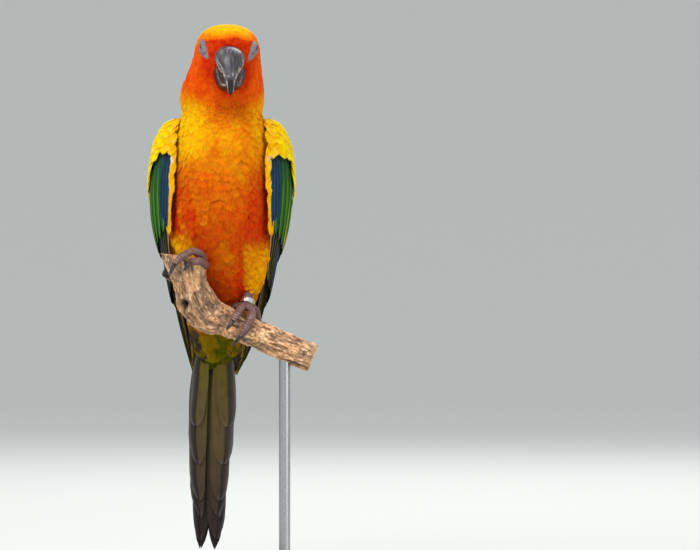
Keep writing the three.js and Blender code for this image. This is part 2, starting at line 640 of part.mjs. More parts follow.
const ringGrown = legRing(GAP);
const thighs = { left: thighForm(legs.left).subtract(ringGrown), right: thighForm(legs.right) };
const thighsGrown = [thighForm(legs.left, GAP), thighForm(legs.right, GAP)];
const lids = {};
const balls = {};
const lidsGrown = [];
const headWhole = headForm();
const lidSkin = headForm(0.5).subtract(headForm(-1.2));
for (const [side, sign] of [["left", 1], ["right", -1]]) {
  const eye = eyePlace(sign);
  const room = eyeBall(eye, EYE_RADIUS + GAP);
  const lidOuter = EYE_RADIUS + GAP + LID_THICK;
  balls[side] = eyeBall(eye, EYE_RADIUS);
  lids[side] = without(lidSkin.intersect(eyeColumn(eye)).add(eyeBall(eye, lidOuter)), [room, eyeSlit(eye)]);
  lidsGrown.push(eyeColumn(eye, GAP), eyeBall(eye, lidOuter + GAP));
}

const upperGrown = billUpperForm(GAP);
const upperWhole = billUpperForm();
const headAhead = headWay(0, 1, 0);
const nostrils = [-1, 1].map((side) => {
  const way = headWay(side * 0.5, 0.3, 0.8);
  const root = onHead(side * 3.3, 22.6, 280);
  return limb([root, root.clone().addScaledVector(way, 5)], [0.75, 0.75], { steps: 1, sides: 7 });
});
const cereFace = onHead(0, CERE_FRONT, 278);
const ahead = blockBeyond(cereFace, headAhead);
const behind = blockBeyond(cereFace.clone().addScaledVector(headAhead, GAP), headAhead.clone().negate());

// The bird's pieces, each cut clear of its neighbours
put("head", without(headWhole, [upperGrown, billLowerForm(GAP), ...lidsGrown]), "yellow");
put("cere", without(upperWhole, [ahead, ...nostrils]), "cere");
put("bill_upper", upperWhole.subtract(behind), "horn");
put("bill_lower", billLowerForm().subtract(upperGrown), "horn");
for (const side of ["left", "right"]) {
  put(`eye_${side}`, balls[side], "eye");
  put(`eyelids_${side}`, lids[side], "lids");
}
put("neck", without(bodyWhole, [belowNeck, headGrown, blockBeyond(point(0, 0, NECK_TOP_Z), up)]), "yellow");
put("torso", without(bodyWhole, [aboveNeckFoot, belowTorso, perchGrown, ...thighsGrown]), "orange");
const tailWhole = tailSolid().add(bodyWhole.subtract(aboveTail));
put("tail", without(tailWhole, [aboveTail, rumpGrown]), "olive");

for (const [side, sign] of [["left", 1], ["right", -1]]) {
  const leg = legs[side];
  const wing = joined([wingCore(sign), ...wingVanes(sign)]);
  put(`wing_${side}`, without(wing, [bodyGrown, ...thighsGrown]), "green");
  put(`thigh_${side}`, thighs[side].subtract(perchGrown), "yellow");
  const pairs = leg.toes.map((toe, i) => toeAndClaw(points(toe), points(leg.claws[i])));
  const shank = limb(points(leg.shank), [2.6, 2.6, 2.7], { steps: 3, sides: 8 });
  const clear = [perchGrown, bodyGrown, ringGrown, ...thighsGrown];
  put(`foot_${side}`, without(joined([shank, ...pairs.map((p) => p.toeForm)]), clear), "foot");
  pairs.forEach((p, i) => put(`claw_${side}_${i + 1}`, without(p.clawForm, clear), "horn"));
}
put("leg_ring", legRing(), "metal");
put("perch", perchForm(), "bark");

// The stand: a round turned base and one rod up to the perch
const baseProfile = [[0, 0], [BASE_RADIUS - 1, 0], [BASE_RADIUS, 1], [BASE_RADIUS, BASE_HEIGHT - 2.5],
  [BASE_RADIUS - 2.5, BASE_HEIGHT], [0, BASE_HEIGHT]];
const base = new THREE.LatheGeometry(baseProfile.map(([x, y]) => new THREE.Vector2(x, y)), 40);
base.rotateX(Math.PI / 2);
put("stand_base", solidOf(base), "wood");

const rodFoot = BASE_HEIGHT + GAP;
const rod = new THREE.CylinderGeometry(ROD_RADIUS, ROD_RADIUS, ROD_TOP_Z - rodFoot, 20);
rod.rotateX(Math.PI / 2);
rod.translate(ROD_PLACE.x, ROD_PLACE.y, (ROD_TOP_Z + rodFoot) / 2);
put("stand_rod", solidOf(rod).subtract(perchGrown), "steel");

export default group;
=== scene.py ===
import math

import bmesh
import bpy
import numpy as np
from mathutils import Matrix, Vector
from mathutils.bvhtree import BVHTree
from mathutils.kdtree import KDTree


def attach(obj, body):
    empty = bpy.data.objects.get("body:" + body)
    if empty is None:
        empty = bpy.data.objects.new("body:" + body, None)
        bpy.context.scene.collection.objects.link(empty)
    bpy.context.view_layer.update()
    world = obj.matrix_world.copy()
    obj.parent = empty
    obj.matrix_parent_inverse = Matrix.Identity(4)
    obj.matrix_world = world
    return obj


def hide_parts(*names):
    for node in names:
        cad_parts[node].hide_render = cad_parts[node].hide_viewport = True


# A sun conure asleep on a cut length of branch, on a plain display stand, life size.
# The model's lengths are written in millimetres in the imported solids' own frame, and become metres as a
# mesh is made. The camera's, floor's and lights' are in metres. The bird faces -Y, its left side at +X.
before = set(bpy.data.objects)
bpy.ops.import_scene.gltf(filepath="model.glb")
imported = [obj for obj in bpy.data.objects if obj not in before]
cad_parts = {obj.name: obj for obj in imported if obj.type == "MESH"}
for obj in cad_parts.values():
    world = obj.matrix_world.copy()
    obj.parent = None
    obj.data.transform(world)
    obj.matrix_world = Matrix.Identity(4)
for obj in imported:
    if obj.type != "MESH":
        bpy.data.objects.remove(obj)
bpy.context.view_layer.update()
mm = 0.001

# Camera
# The bird was seen from about two metres off through a long lens, level with the foot of its breast.
# The picture's middle lies a little to the bird's left.
CAMERA_AT = (0.0674, -2.062, 0.1634)


def put(name, data):
    """A new object in the scene, at the origin."""
    made = bpy.data.objects.new(name, data)
    bpy.context.scene.collection.objects.link(made)
    return made


camera = put("camera", bpy.data.cameras.new("camera"))
camera.data.lens = 200
camera.data.sensor_width = 36
camera.location = CAMERA_AT
camera.rotation_euler = (math.pi / 2, 0, 0)
bpy.context.scene.camera = camera

# Floor
# A pale paper floor, as a studio lays under a museum piece: level round the stand, and curving up in a
# wide bowl on every side so that no edge shows behind the bird.
LEVEL_REACH = 3
BOWL_RADIUS = 3.2


def mesh_from(name, bm):
    """The bmesh's shape as a mesh."""
    made = bpy.data.meshes.new(name)
    bm.to_mesh(made)
    bm.free()
    return made


def smoothed(mesh):
    mesh.polygons.foreach_set("use_smooth", [True] * len(mesh.polygons))
    mesh.update()


def shader_of(look):
    return look.node_tree.nodes["Principled BSDF"]


def material(name, **sockets):
    """A new material, with these values on its shader's sockets."""
    made = bpy.data.materials.new(name)
    made.use_nodes = True
    for key, value in sockets.items():
        shader_of(made).inputs[key.replace("_", " ")].default_value = value
    return made


sweep = bmesh.new()
centre = sweep.verts.new((0, 0, 0))
bend = sweep.verts.new((LEVEL_REACH, 0, 0))
sweep.edges.new((centre, bend))
bmesh.ops.spin(
    sweep, geom=[bend], cent=(LEVEL_REACH, 0, BOWL_RADIUS), axis=(0, -1, 0), angle=math.radians(62),
    steps=24, use_merge=False,
)
bmesh.ops.spin(
    sweep, geom=sweep.verts[:] + sweep.edges[:], cent=(0, 0, 0), axis=(0, 0, 1), angle=math.tau,
    steps=96, use_merge=True,
)
bmesh.ops.remove_doubles(sweep, verts=sweep.verts, dist=1e-5)
bmesh.ops.recalc_face_normals(sweep, faces=sweep.faces)
floor = put("floor", mesh_from("floor", sweep))
smoothed(floor.data)
floor.data.materials.append(material("pale paper", Base_Color=(0.66, 0.68, 0.65, 1), Roughness=0.9))

# Light
# Soft daylight from above and in front, from the left of the picture. A bright card fills in from its
# right, and another lights the bird's back.
MID_BIRD = Vector((0, 0, 0.19))
world = bpy.data.worlds.new("studio")
world.use_nodes = True
sky = world.node_tree.nodes["Background"].inputs
sky["Color"].default_value = (0.93, 0.97, 1, 1)
sky["Strength"].default_value = 0.72
bpy.context.scene.world = world
bpy.context.scene.view_settings.view_transform = "Standard"
for name, place, size, watts in (
    ("key softbox", (-0.6, -1.05, 1.3), 1.3, 22),
    ("fill card", (1.2, -0.9, 0.55), 1.1, 6),
    ("back card", (0.25, 1.1, 1.1), 0.9, 9),
):
    lamp = put(name, bpy.data.lights.new(name, "AREA"))
    lamp.data.shape = "DISK"
    lamp.data.size = size
    lamp.data.energy = watts
    lamp.location = place
    lamp.rotation_euler = (MID_BIRD - Vector(place)).to_track_quat("-Z", "Y").to_euler()


# Skin
# The bird's flesh is one closed skin, from the crown to the root of the tail, with both arms and both
# thighs. It is fused from its swelling forms and then drawn in by the depth of the coat that grows on it.
def smooth(rows):
    """A table of [t, value, ...] rows as a smooth function of t that passes through each row."""
    rows = np.array(rows, float)
    t, values = rows[:, 0], rows[:, 1:]
    before = np.maximum(np.arange(len(t)) - 1, 0)
    after = np.minimum(np.arange(len(t)) + 1, len(t) - 1)
    slopes = (values[after] - values[before]) / (t[after] - t[before])[:, None]

    def at(x):
        x = np.clip(np.asarray(x, float), t[0], t[-1])
        i = np.clip(np.searchsorted(t, x, side="right") - 1, 0, len(t) - 2)
        span = (t[i + 1] - t[i])[..., None]
        s = (x - t[i])[..., None] / span
        start = (2 * s**3 - 3 * s**2 + 1) * values[i] + (s**3 - 2 * s**2 + s) * slopes[i] * span
        made = start + (3 * s**2 - 2 * s**3) * values[i + 1] + (s**3 - s**2) * slopes[i + 1] * span
        return made[..., 0] if values.shape[1] == 1 else made

    return at


def step(x, low, high):
    """0 below low, 1 above high, and a smooth rise between them."""
    t = np.clip((np.asarray(x, float) - low) / (high - low), 0, 1)
    return t * t * (3 - 2 * t)


def fade(x, low, high):
    """1 below low, 0 above high, and a smooth fall between them."""
    return 1 - step(x, low, high)


def bell(x, width):
    """1 at 0, falling away on both sides to almost nothing at twice the width."""
    return np.exp(-((x / width) ** 2))


def mix(a, b, t):
    return a + (b - a) * t


def unit(v):
    return v / np.maximum(np.linalg.norm(v, axis=-1, keepdims=True), 1e-9)


def around(columns):
    """The turns of a row of points that closes on itself."""
    return np.linspace(0, 2 * math.pi, columns + 1)[None, :]


# How far the middle line stands to the bird's left; then half width, breast line and back line
lean = smooth([
    [15, -9.3], [105, -5.2], [124, -3.3], [150, -1.9], [200, -0.8], [229, -0.2], [250, 0],
])
body = smooth([
    [106, 5, 25.4, 28], [110, 8.4, 23.4, 28.8], [116, 12, 17.5, 29.4], [126, 14.5, 7, 29.6],
    [138, 17, -2.5, 29], [150, 19.5, -11, 28], [162, 22, -20, 26.3], [174, 24.2, -28.5, 24.4],
    [186, 25.4, -35, 22.4], [199, 25.8, -38.2, 20.6], [214, 25.6, -39, 18.8], [229, 25.2, -37.5, 17.3],
    [239, 24.3, -35, 16.3], [245, 22.6, -32.5, 15.9], [250, 21, -31, 15.5], [258, 18, -28, 14],
])
# Half width, reach ahead, reach behind and sideways shift, about the line that the head turns on
head = smooth([
    [243, 17, 15, 21.5, -2.8], [250, 21.3, 19, 26.5, -2.8], [256, 22.6, 20.5, 27.5, -2.8],
    [262, 21.6, 22, 27.2, -2.4], [270, 19.6, 22.5, 26.4, -1.4], [276, 18.1, 22.5, 25.2, -0.5],
    [282, 17.2, 22, 23, 0], [286, 16.3, 20, 20.6, 0], [290, 14.4, 16, 16.8, 0],
    [293, 11.4, 11.6, 12.5, 0], [295, 7, 7, 7.6, 0], [295.8, 2, 2, 2.4, 0],
])
HEAD_AXIS = np.array([2.8, -12.0])
HEAD_TURN = math.radians(4.5)
TURN_COS, TURN_SIN = math.cos(HEAD_TURN), math.sin(HEAD_TURN)


def on_head(x, ahead, z):
    """From the head's own frame (x to its left, ahead, z) to the bird's."""
    x, ahead, z = np.broadcast_arrays(np.asarray(x, float), ahead, z)
    left = HEAD_AXIS[0] + x * TURN_COS + ahead * TURN_SIN
    return np.stack([left, HEAD_AXIS[1] + x * TURN_SIN - ahead * TURN_COS, z], -1)


def head_way(x, ahead, z):
    return unit(on_head(x, ahead, z) - on_head(0, 0, 0))


def in_head(p):
    """How far a point stands to the head's left of the axis it turns on, and ahead of it."""
    x, y = p[..., 0] - HEAD_AXIS[0], p[..., 1] - HEAD_AXIS[1]
    return x * TURN_COS + y * TURN_SIN, x * TURN_SIN - y * TURN_COS


def oval(turn, half, front, back):
    """A level section, a little squarer than an ellipse: x, and how far ahead."""
    squarer = lambda v: np.sign(v) * np.abs(v) ** 0.93
    ahead = squarer(np.cos(turn))
    return half * squarer(np.sin(turn)), ahead * np.where(ahead > 0, front, back)


def body_at(turn, z):
    half, breast, back = np.moveaxis(body(z), -1, 0)
    depth = (back - breast) / 2
    x, ahead = oval(turn, half, depth, depth)
    return np.stack([lean(z) + x, (back + breast) / 2 - ahead, z + 0 * x], -1)


def head_at(turn, z):
    half, front, back, shift = np.moveaxis(head(z), -1, 0)
    x, ahead = oval(turn, half, front, back)
    return on_head(x, ahead, z) + np.stack([shift, 0 * shift, 0 * shift], -1)


def pinched(points):
    """The same rows of points with each end row drawn in to its middle, so that the shell is closed."""
    first, last = (np.broadcast_to(row[:-1].mean(0), row.shape)[None] for row in (points[0], points[-1]))
    return np.concatenate([first, points, last])


def shell(points):
    """A grid laid over rows of points, in millimetres; its seam and its pinched ends are merged."""
    rows, columns = points.shape[:2]
    bm = bmesh.new()
    bmesh.ops.create_grid(bm, x_segments=columns - 1, y_segments=rows - 1, size=0.5)
    for vert in bm.verts:
        row = round((vert.co.y + 0.5) * (rows - 1))
        column = round((vert.co.x + 0.5) * (columns - 1))
        vert.co = points[row, column] * mm
    bmesh.ops.remove_doubles(bm, verts=bm.verts, dist=1e-6)
    bmesh.ops.dissolve_degenerate(bm, edges=bm.edges, dist=1e-7)
    bmesh.ops.recalc_face_normals(bm, faces=bm.faces)
    return bm


def follow(path, stations):
    """Evenly spaced places on a smooth line through the path's points, what else each point carries, and
    an untwisted pair of directions across the line at each place."""
    path = np.array(path, float)
    chords = np.linalg.norm(np.diff(path[:, :3], axis=0), axis=1)
    line = smooth(np.column_stack([np.concatenate([[0], np.cumsum(chords)]), path]))
    made = line(np.linspace(0, chords.sum(), stations))
    places, extra = made[:, :3], made[:, 3:]
    tangents = unit(np.gradient(places, axis=0))
    sides = [unit(np.cross(tangents[0], [0, 0, 1] if abs(tangents[0][2]) < 0.9 else [0, 1, 0]))]
    for tangent in tangents[1:]:
        sides.append(unit(sides[-1] - tangent * sides[-1].dot(tangent)))
    return places, extra, np.array(sides), np.cross(tangents, sides)


def limb(path, stations, columns, shape=lambda along, turn: 1.0):
    """Rows of points round a limb; the path's fourth value is its radius."""
    places, radius, sides, ups = follow(path, stations)
    turn = around(columns)
    r = radius * shape(np.linspace(0, 1, stations)[:, None], turn)
    ring = np.cos(turn)[..., None] * sides[:, None] + np.sin(turn)[..., None] * ups[:, None]
    return pinched(places[:, None] + ring * r[..., None])


def piece(name, mesh, look, *nodes):
    """A finished mesh becomes a piece of the model, which stands for the named nodes."""
    made = put(name, mesh)
    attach(made, "root")
    if nodes:
        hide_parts(*nodes)
    smoothed(mesh)
    mesh.materials.append(look)
    return made


def fused(name, forms, voxel, smoothing):
    """One closed mesh round several forms that run into one another."""
    together = bmesh.new()
    for form in forms:
        scrap = mesh_from("scrap", form)
        together.from_mesh(scrap)
        bpy.data.meshes.remove(scrap)
    rough = put(name, mesh_from(name, together))
    remesh = rough.modifiers.new("fuse", "REMESH")
    remesh.mode = "VOXEL"
    remesh.voxel_size = voxel * mm
    relax = rough.modifiers.new("relax", "SMOOTH")
    relax.factor = 0.5
    relax.iterations = smoothing
    done = bpy.data.meshes.new_from_object(rough.evaluated_get(bpy.context.evaluated_depsgraph_get()))
    bpy.data.meshes.remove(rough.data)
    done.name = name
    return done


def read(items, key, width, kind=np.float32):
    """What a mesh keeps under a name, one row for each of the items."""
    values = np.empty(len(items) * width, kind)
    items.foreach_get(key, values)
    return values.reshape(-1, width)


def places_of(mesh):
    return read(mesh.vertices, "co", 3).astype(float) / mm


def normals_of(mesh):
    return read(mesh.vertices, "normal", 3).astype(float)


def move_to(mesh, places):
    mesh.vertices.foreach_set("co", (places * mm).astype(np.float32).ravel())
    mesh.update()


# The folded wing, by height: front edge x and y, rear edge x and y, widest x
wing = smooth([
    [106, 13.6, 28, 8.6, 34, 14.2], [112, 14.6, 25, 7.6, 34.8, 15.8], [120, 16, 21, 6.4, 35.4, 18],
    [130, 18, 15, 5.4, 35.3, 20.8], [140, 20, 8, 5, 34.5, 23.7], [150, 22.2, 0, 5.2, 33.4, 26.1],
    [160, 24, -7, 6, 32, 28.3], [171, 25.2, -15, 7.2, 30.4, 30.6], [182, 26, -21, 8.6, 28.8, 34.1],
    [192, 26.2, -24.5, 10, 27, 36.4], [203, 26.2, -26.5, 11.6, 25, 37.9], [213, 26, -27, 12.6, 23, 38.3],
    [221, 25.8, -26.5, 13.2, 21, 37.8], [229, 25.4, -24.8, 14, 18.4, 36.7], [235, 25, -22.4, 15, 15, 35.1],
    [240, 24.6, -19, 16.4, 10.5, 32.6], [244, 23.8, -15, 18, 5, 29.4], [247, 22.6, -10.5, 19.6, -1, 25.6],
])
ARM_SUNK = 2.4
ARM_BELLY = 9.5
SMALL_STEP = 0.01  # a step across the wing, taken both ways to find its slope


def wing_flat(side, z, v):
    """A place on the folded wing: v runs from its front edge, 0, to its rear edge, 1."""
    z, v = np.broadcast_arrays(np.asarray(z, float), np.asarray(v, float))
    fx, fy, rx, ry, widest = np.moveaxis(wing(z), -1, 0)
    pull = (widest - (fx + rx) / 8) / 0.75
    w = 1 - v
    x = w**3 * fx + 3 * w * v * pull + v**3 * rx
    y = w**3 * fy + 3 * w * w * v * mix(fy, ry, 0.12) + 3 * w * v * v * mix(fy, ry, 0.88) + v**3 * ry
    return np.stack([lean(z) + side * x, y, z], -1)


def wing_across(side, z, v):
    return wing_flat(side, z, v + SMALL_STEP) - wing_flat(side, z, v - SMALL_STEP)


def wing_over(side, z, v):
    """The way off the wing's surface, outwards."""
    along = wing_flat(side, z - 1, v) - wing_flat(side, z + 1, v)
    return unit(np.cross(along, wing_across(side, z, v))) * side


def wing_at(side, z, v, lift):
    """A place that stands this far off the folded wing."""
    return wing_flat(side, z, v) + wing_over(side, z, v) * np.asarray(lift)[..., None]


def arm_form(side):
    z = np.linspace(246, 166, 40)[:, None]
    deep = mix(0.3, 1, step(z, 160, 198)) * mix(1, 0.4, step(z, 236, 246))
    there = np.linspace(0.04, 0.92, 12)[None, :]
    back = there[:, -2:0:-1]
    outer = wing_at(side, z, there, -ARM_SUNK)
    inner = wing_at(side, z, back, -ARM_SUNK - (1.6 + ARM_BELLY * np.sin(math.pi * back)) * deep)
    return shell(pinched(np.concatenate([outer, inner, outer[:, :1]], 1)))


thighs = {
    1: [[17, -8, 192, 8], [17.8, -10, 176, 8.8], [16.8, -10.6, 163, 6.2], [14.4, -10.2, 153.4, 4.4]],
    -1: [[-17, -6, 196, 8], [-18, -12.5, 184, 9.4], [-16.5, -17, 176.5, 6.8], [-14.2, -18.4, 173, 4.8]],
}
BODY_FOOT_Z, BODY_TOP_Z = 106, 257
HEAD_FOOT_Z, HEAD_TALL = 243.5, 52.2
body_form = pinched(body_at(around(64), np.linspace(BODY_FOOT_Z, BODY_TOP_Z, 90)[:, None]))
dome = np.sin(np.linspace(0, math.pi / 2, 60)) ** 0.9
head_form = pinched(head_at(around(64), (HEAD_FOOT_Z + HEAD_TALL * dome)[:, None]))
arm_trees = [BVHTree.FromBMesh(arm_form(side)) for side in (1, -1)]
forms = [shell(body_form), shell(head_form), arm_form(1), arm_form(-1)]
forms += [shell(limb(path, 30, 32)) for path in thighs.values()]
skin_mesh = fused("skin", forms, 1.0, 6)


def coat_depth(p):
    """How deep the feathers lie over the skin: least by the bill and eyes, most on the breast."""
    _, ahead = in_head(p)
    face = step(p[:, 2], 252, 262) * step(ahead, -4, 12)
    depth = mix(mix(2.0, 1.3, step(p[:, 2], 250, 262)), 0.8, face)
    return mix(depth, 1.0, fade(p[:, 2], 112, 128))


outer_form = places_of(skin_mesh)
skin_places = outer_form - normals_of(skin_mesh) * coat_depth(outer_form)[:, None]
move_to(skin_mesh, skin_places)
skin_tree = BVHTree.FromPolygons(
    [tuple(p) for p in skin_places], [tuple(f.vertices) for f in skin_mesh.polygons],
)


def paint(code):
    """A colour as the eye sees it, written as on a paint card, in the shader's own linear values."""
    seen = np.array([int(code[i:i + 2], 16) for i in (0, 2, 4)]) / 255
    return np.where(seen <= 0.04045, seen / 12.92, ((seen + 0.055) / 1.055) ** 2.4)


def lay(colour, *layers):
    """A colour with others laid over it in turn, each given as its paint and how much of it."""
    for code, share in layers:
        colour = colour + (paint(code) - colour) * np.asarray(share)[..., None]
    return colour


def blend(first, second, share):
    """Two paints mixed, with this much of the second."""
    return mix(paint(first), paint(second), share[..., None])


def cloud(p, size, seed):
    """Soft random patches about as wide as size, from -1 to 1."""
    q = p / size + seed * 17.31
    cell = np.floor(q).astype(int)
    f = q - cell
    f = f * f * (3 - 2 * f)
    total = 0
    for corner in np.ndindex(2, 2, 2):
        c = cell + corner
        mixed = (c[:, 0] * 73856093) ^ (c[:, 1] * 19349663) ^ (c[:, 2] * 83492791) ^ (seed * 2654435)
        value = ((mixed * 2246822519) % 4294967296) / 2147483648 - 1
        total = total + value * np.where(corner, f, 1 - f).prod(1)
    return total


BILL_ROOT = on_head(0, 21, 275)


def from_bill(p):
    return np.linalg.norm((p - BILL_ROOT) * [1, 0.9, 1], axis=-1)


FRONT_BY_HEIGHT = [
    (106, "5a5600"), (118, "6d5e00"), (128, "7c6400"), (138, "846000"), (143, "7c5200"), (149, "a83400"),
    (168, "c83c00"), (188, "cc4200"), (206, "d45600"), (222, "de6c00"), (240, "ec8400"), (256, "f49400"),
    (280, "fca000"), (290, "ffa800"),
]
BACK_BY_HEIGHT = [(106, "5c5a00"), (124, "8c7c00"), (150, "d89800"), (200, "f0a800"), (296, "fcb000")]


def by_height(rows, z):
    heights, codes = zip(*rows)
    return np.stack([np.interp(z, heights, band) for band in np.transpose([paint(c) for c in codes])], -1)


def markings(p):
    """The plumage's colour at each place: yellow crown and back, red face, orange breast and flanks."""
    x, y, z = p.T
    side, ahead = in_head(p)
    bearing = np.degrees(np.arctan2(np.abs(side), ahead))
    off = np.abs(x - lean(z))
    round_body = np.degrees(np.arctan2(off, body(z)[:, 1:].mean(1) - y))
    large, small = cloud(p, 13, 1), cloud(p * [1, 1, 0.7], 5.5, 2)
    colour = by_height(FRONT_BY_HEIGHT, z + 5 * large)
    colour = mix(colour, by_height(BACK_BY_HEIGHT, z), step(round_body, 92, 118)[:, None])
    on_front = fade(round_body, 80, 105) * fade(z, 246, 254) * step(z, 138, 150)
    flank = step(round_body + 6 * large, 14, 38) * fade(round_body, 96, 112) * fade(z, 212, 236)
    high_breast = fade(round_body, 70, 100) * step(z, 226, 236) * fade(z, 248, 256)
    throat = fade(round_body, 80, 110) * step(z, 234, 242) * fade(z, 252, 258)
    thigh = fade(z, 178, 190) * step(np.abs(x), 11.5, 14.5) * fade(y, 8, 16) * step(z, 140, 150)
    fold = -x - np.interp(z, [182, 192, 197, 208], [15.5, 19, 21.2, 21.6])
    pale_edge = bell(fold, 1.2) * step(z, 180, 184) * fade(z, 205, 210) * (y < 5)
    vent = fade(z, 137, 145) * fade(round_body, 84, 110)
    tail_base = step(off - np.interp(z, [108, 114, 120, 132], [1, 4.5, 8.5, 14]) - small, -0.6, 0.6)
    low = mix(253, 264, step(bearing, 15, 80)) + 2.5 * large + 1.5 * small
    high = 286.2 + 1.2 * small - 1.5 * step(bearing, 30, 60)
    face = step(z - low, -4, 3.5) * fade(z - high, -1.5, 1.5) * fade(bearing, 88, 118)
    warm = step(z - low, -10, 0) * fade(z - high, -2, 2) * fade(bearing, 90, 128)
    deep = np.maximum(bell(z - 283, 5) * fade(bearing, 34, 60) * 1.3, fade(from_bill(p), 9, 19))
    cheek = face * step(bearing, 52, 76) * fade(z, 276, 286)
    # Just under the lower bill the red is painted darker: painted shade cast by the bill on the throat.
    shade_under_bill = bell(z - 252, 4) * fade(np.abs(side - 1), 5, 12) * step(ahead, 0, 10)
    ends = 288.5 + 2.5 * step(bearing, 30, 65) + 1.5 * small
    forehead = step(z - high, -1.5, 0.8) * fade(z - ends, -2.5, 2.5) * fade(bearing, 90, 120)
    return np.clip(lay(
        colour,
        ("dc8800", on_front * step(small + 0.5 * large, 0.15, 0.8) * mix(0.25, 0.55, step(z, 170, 196))),
        ("d83c00", on_front * step(-small - 0.4 * large, 0.1, 0.8) * 0.4),
        ("cc2400", flank * step(z, 140, 160) * mix(0.95, 0.75, step(z, 196, 214))),
        ("ffb400", high_breast * step(-x - 4 * large, 2, 14) * 0.85),
        ("ffb000", throat * step(small + 0.6 * large, -0.1, 0.5) * 0.7),
        ("e68c00", thigh * (0.85 + 0.15 * large)),
        ("f2a400", step(fold, 0, 1.5) * fade(z, 184, 194) * step(z, 172, 177) * 0.8),
        ("f49a10", pale_edge * 0.35),
        ("203c00", vent * step(small + 0.3 * large, 0.0, 0.4) * 0.8),
        ("1a3200", vent * fade(z, 112, 117) * 0.6),
        ("2c2624", vent * tail_base * 0.95),
        ("e46000", warm * 0.7),
        ("e84600", face),
        ("c41400", face * np.clip(deep + 0.3 * small, 0, 1) * 0.9),
        ("e02a10", cheek * 0.5),
        # painted shade under the bill
        ("b02c00", shade_under_bill * 0.7),
        ("f26400", forehead * 0.95),
    ), 0.001, 1)


class Socket:
    """A value in a material; sums on it add the nodes that work them out."""

    def __init__(self, tree, link=None):
        self.tree, self.link = tree, link

    def node(self, kind, settings=None, output=0, **inputs):
        made = self.tree.nodes.new(kind)
        for key, value in (settings or {}).items():
            setattr(made, key, value)
        for key, value in inputs.items():
            socket = made.inputs[int(key[1:]) if key[0] == "_" else key]
            if isinstance(value, Socket):
                self.tree.links.new(value.link, socket)
            else:
                socket.default_value = value
        return Socket(self.tree, made.outputs[output])

    def math(self, operation, *values):
        inputs = {f"_{i}": value for i, value in enumerate(values)}
        return self.node("ShaderNodeMath", {"operation": operation}, **inputs)

    def __add__(self, other):
        return self.math("ADD", self, other)

    def __sub__(self, other):
        return self.math("SUBTRACT", self, other)

    def __rsub__(self, other):
        return self.math("SUBTRACT", other, self)

    def __mul__(self, other):
        return self.math("MULTIPLY", self, other)

    __radd__, __rmul__ = __add__, __mul__

    def rise(self, low, high):
        """0 below low, 1 above high, and a smooth rise between them."""
        eased = {"interpolation_type": "SMOOTHSTEP"}
        return self.node("ShaderNodeMapRange", eased, **{"Value": self, "From Min": low, "From Max": high})

    def tint(self, under, over):
        """The first colour with this much of the second laid over it."""
        colours = {f"_{i}": c if isinstance(c, Socket) else (*c, 1) for i, c in ((6, under), (7, over))}
        return self.node("ShaderNodeMix", {"data_type": "RGBA"}, output=2, _0=self, **colours)

    def painted(self, name):
        """The colour that a mesh carries under this name."""
        return self.node("ShaderNodeAttribute", {"attribute_name": name}, output="Color")

    def noise(self, size, detail=3, roughness=0.5, squash=(1, 1, 1)):
        """Soft patches about as wide as size, in millimetres; squash shortens them along an axis."""
        place = self.node("ShaderNodeTexCoord", output="Object")
        place = self.node("ShaderNodeMapping", Vector=place, Scale=tuple(s / (size * mm) for s in squash))
        return self.node("ShaderNodeTexNoise", Vector=place, Scale=1.0, Detail=detail, Roughness=roughness)

    def bump(self, strength, distance):
        return self.node("ShaderNodeBump", Height=self, Strength=strength, Distance=distance * mm)


def wire(look, **sockets):
    for key, value in sockets.items():
        value.tree.links.new(value.link, shader_of(look).inputs[key.replace("_", " ")])


def finish(name, grain, rise, under, over, share=None, bump=None, rough=None, **sockets):
    """A look with a fine grain. Where the grain is high its first colour, or the painted one that is
    named, gives way to the second; the grain may also stand in relief and roughen the surface."""
    look = material(name, **sockets)
    start = Socket(look.node_tree)
    fine = start.noise(**grain)
    much = fine.rise(*rise) if share is None else fine.rise(*rise) * share
    wire(look, Base_Color=much.tint(start.painted(under) if isinstance(under, str) else under, over))
    if rough:
        wire(look, Roughness=fine * rough[0] + rough[1])
    if bump:
        wire(look, Normal=fine.bump(*bump))
    return look


def add_colours(mesh, name, colours):
    layer = mesh.color_attributes.new(name, "FLOAT_COLOR", "POINT")
    rgba = np.ones((len(colours), 4), np.float32)
    rgba[:, :3] = colours
    layer.data.foreach_set("color", rgba.ravel())


# The skin carries the plumage's markings darkened to 0.8: painted shade, as it shows only between the
# feathers.
add_colours(skin_mesh, "plumage", markings(outer_form) * 0.8)
skin_look = finish(
    "skin under the feathers", {"size": 0.7}, (0.4, 0.8), "plumage", (0.12, 0.03, 0),
    share=0.4, bump=(0.6, 0.4), Roughness=0.8, Specular_IOR_Level=0.1,
)
skin = piece("skin", skin_mesh, skin_look, "head", "neck", "torso", "thigh_left", "thigh_right")

# An unwrap of the skin, so that every feather can find its root's own place on it
bpy.context.view_layer.objects.active = skin
skin.select_set(True)
bpy.ops.object.mode_set(mode="EDIT")
bpy.ops.mesh.select_all(action="SELECT")
bpy.ops.uv.smart_project(angle_limit=math.radians(66), island_margin=0.01)
bpy.ops.object.mode_set(mode="OBJECT")
skin.select_set(False)
skin_mesh.uv_layers[0].name = "OFBake"

# Coat
# Body feathers are short soft vanes that overlap like shingles and lie away from the bill, then down
# the body. Each is a fan of tapered barbs on one root, so its rounded edge is frayed as a real one's is.
ROOTS_TRIED = 90000
ROOT_SPACING = 0.25
CROWN_Z, NECK_Z, BREAST_Z, MANTLE_Z = 266, 247, 208, 178
rng = np.random.default_rng(7)
skin_mesh.calc_loop_triangles()
tri_verts = read(skin_mesh.loop_triangles, "vertices", 3, np.int32)
tri_loops = read(skin_mesh.loop_triangles, "loops", 3, np.int32)
unwrap = read(skin_mesh.uv_layers["OFBake"].data, "uv", 2)
skin_normals = normals_of(skin_mesh)


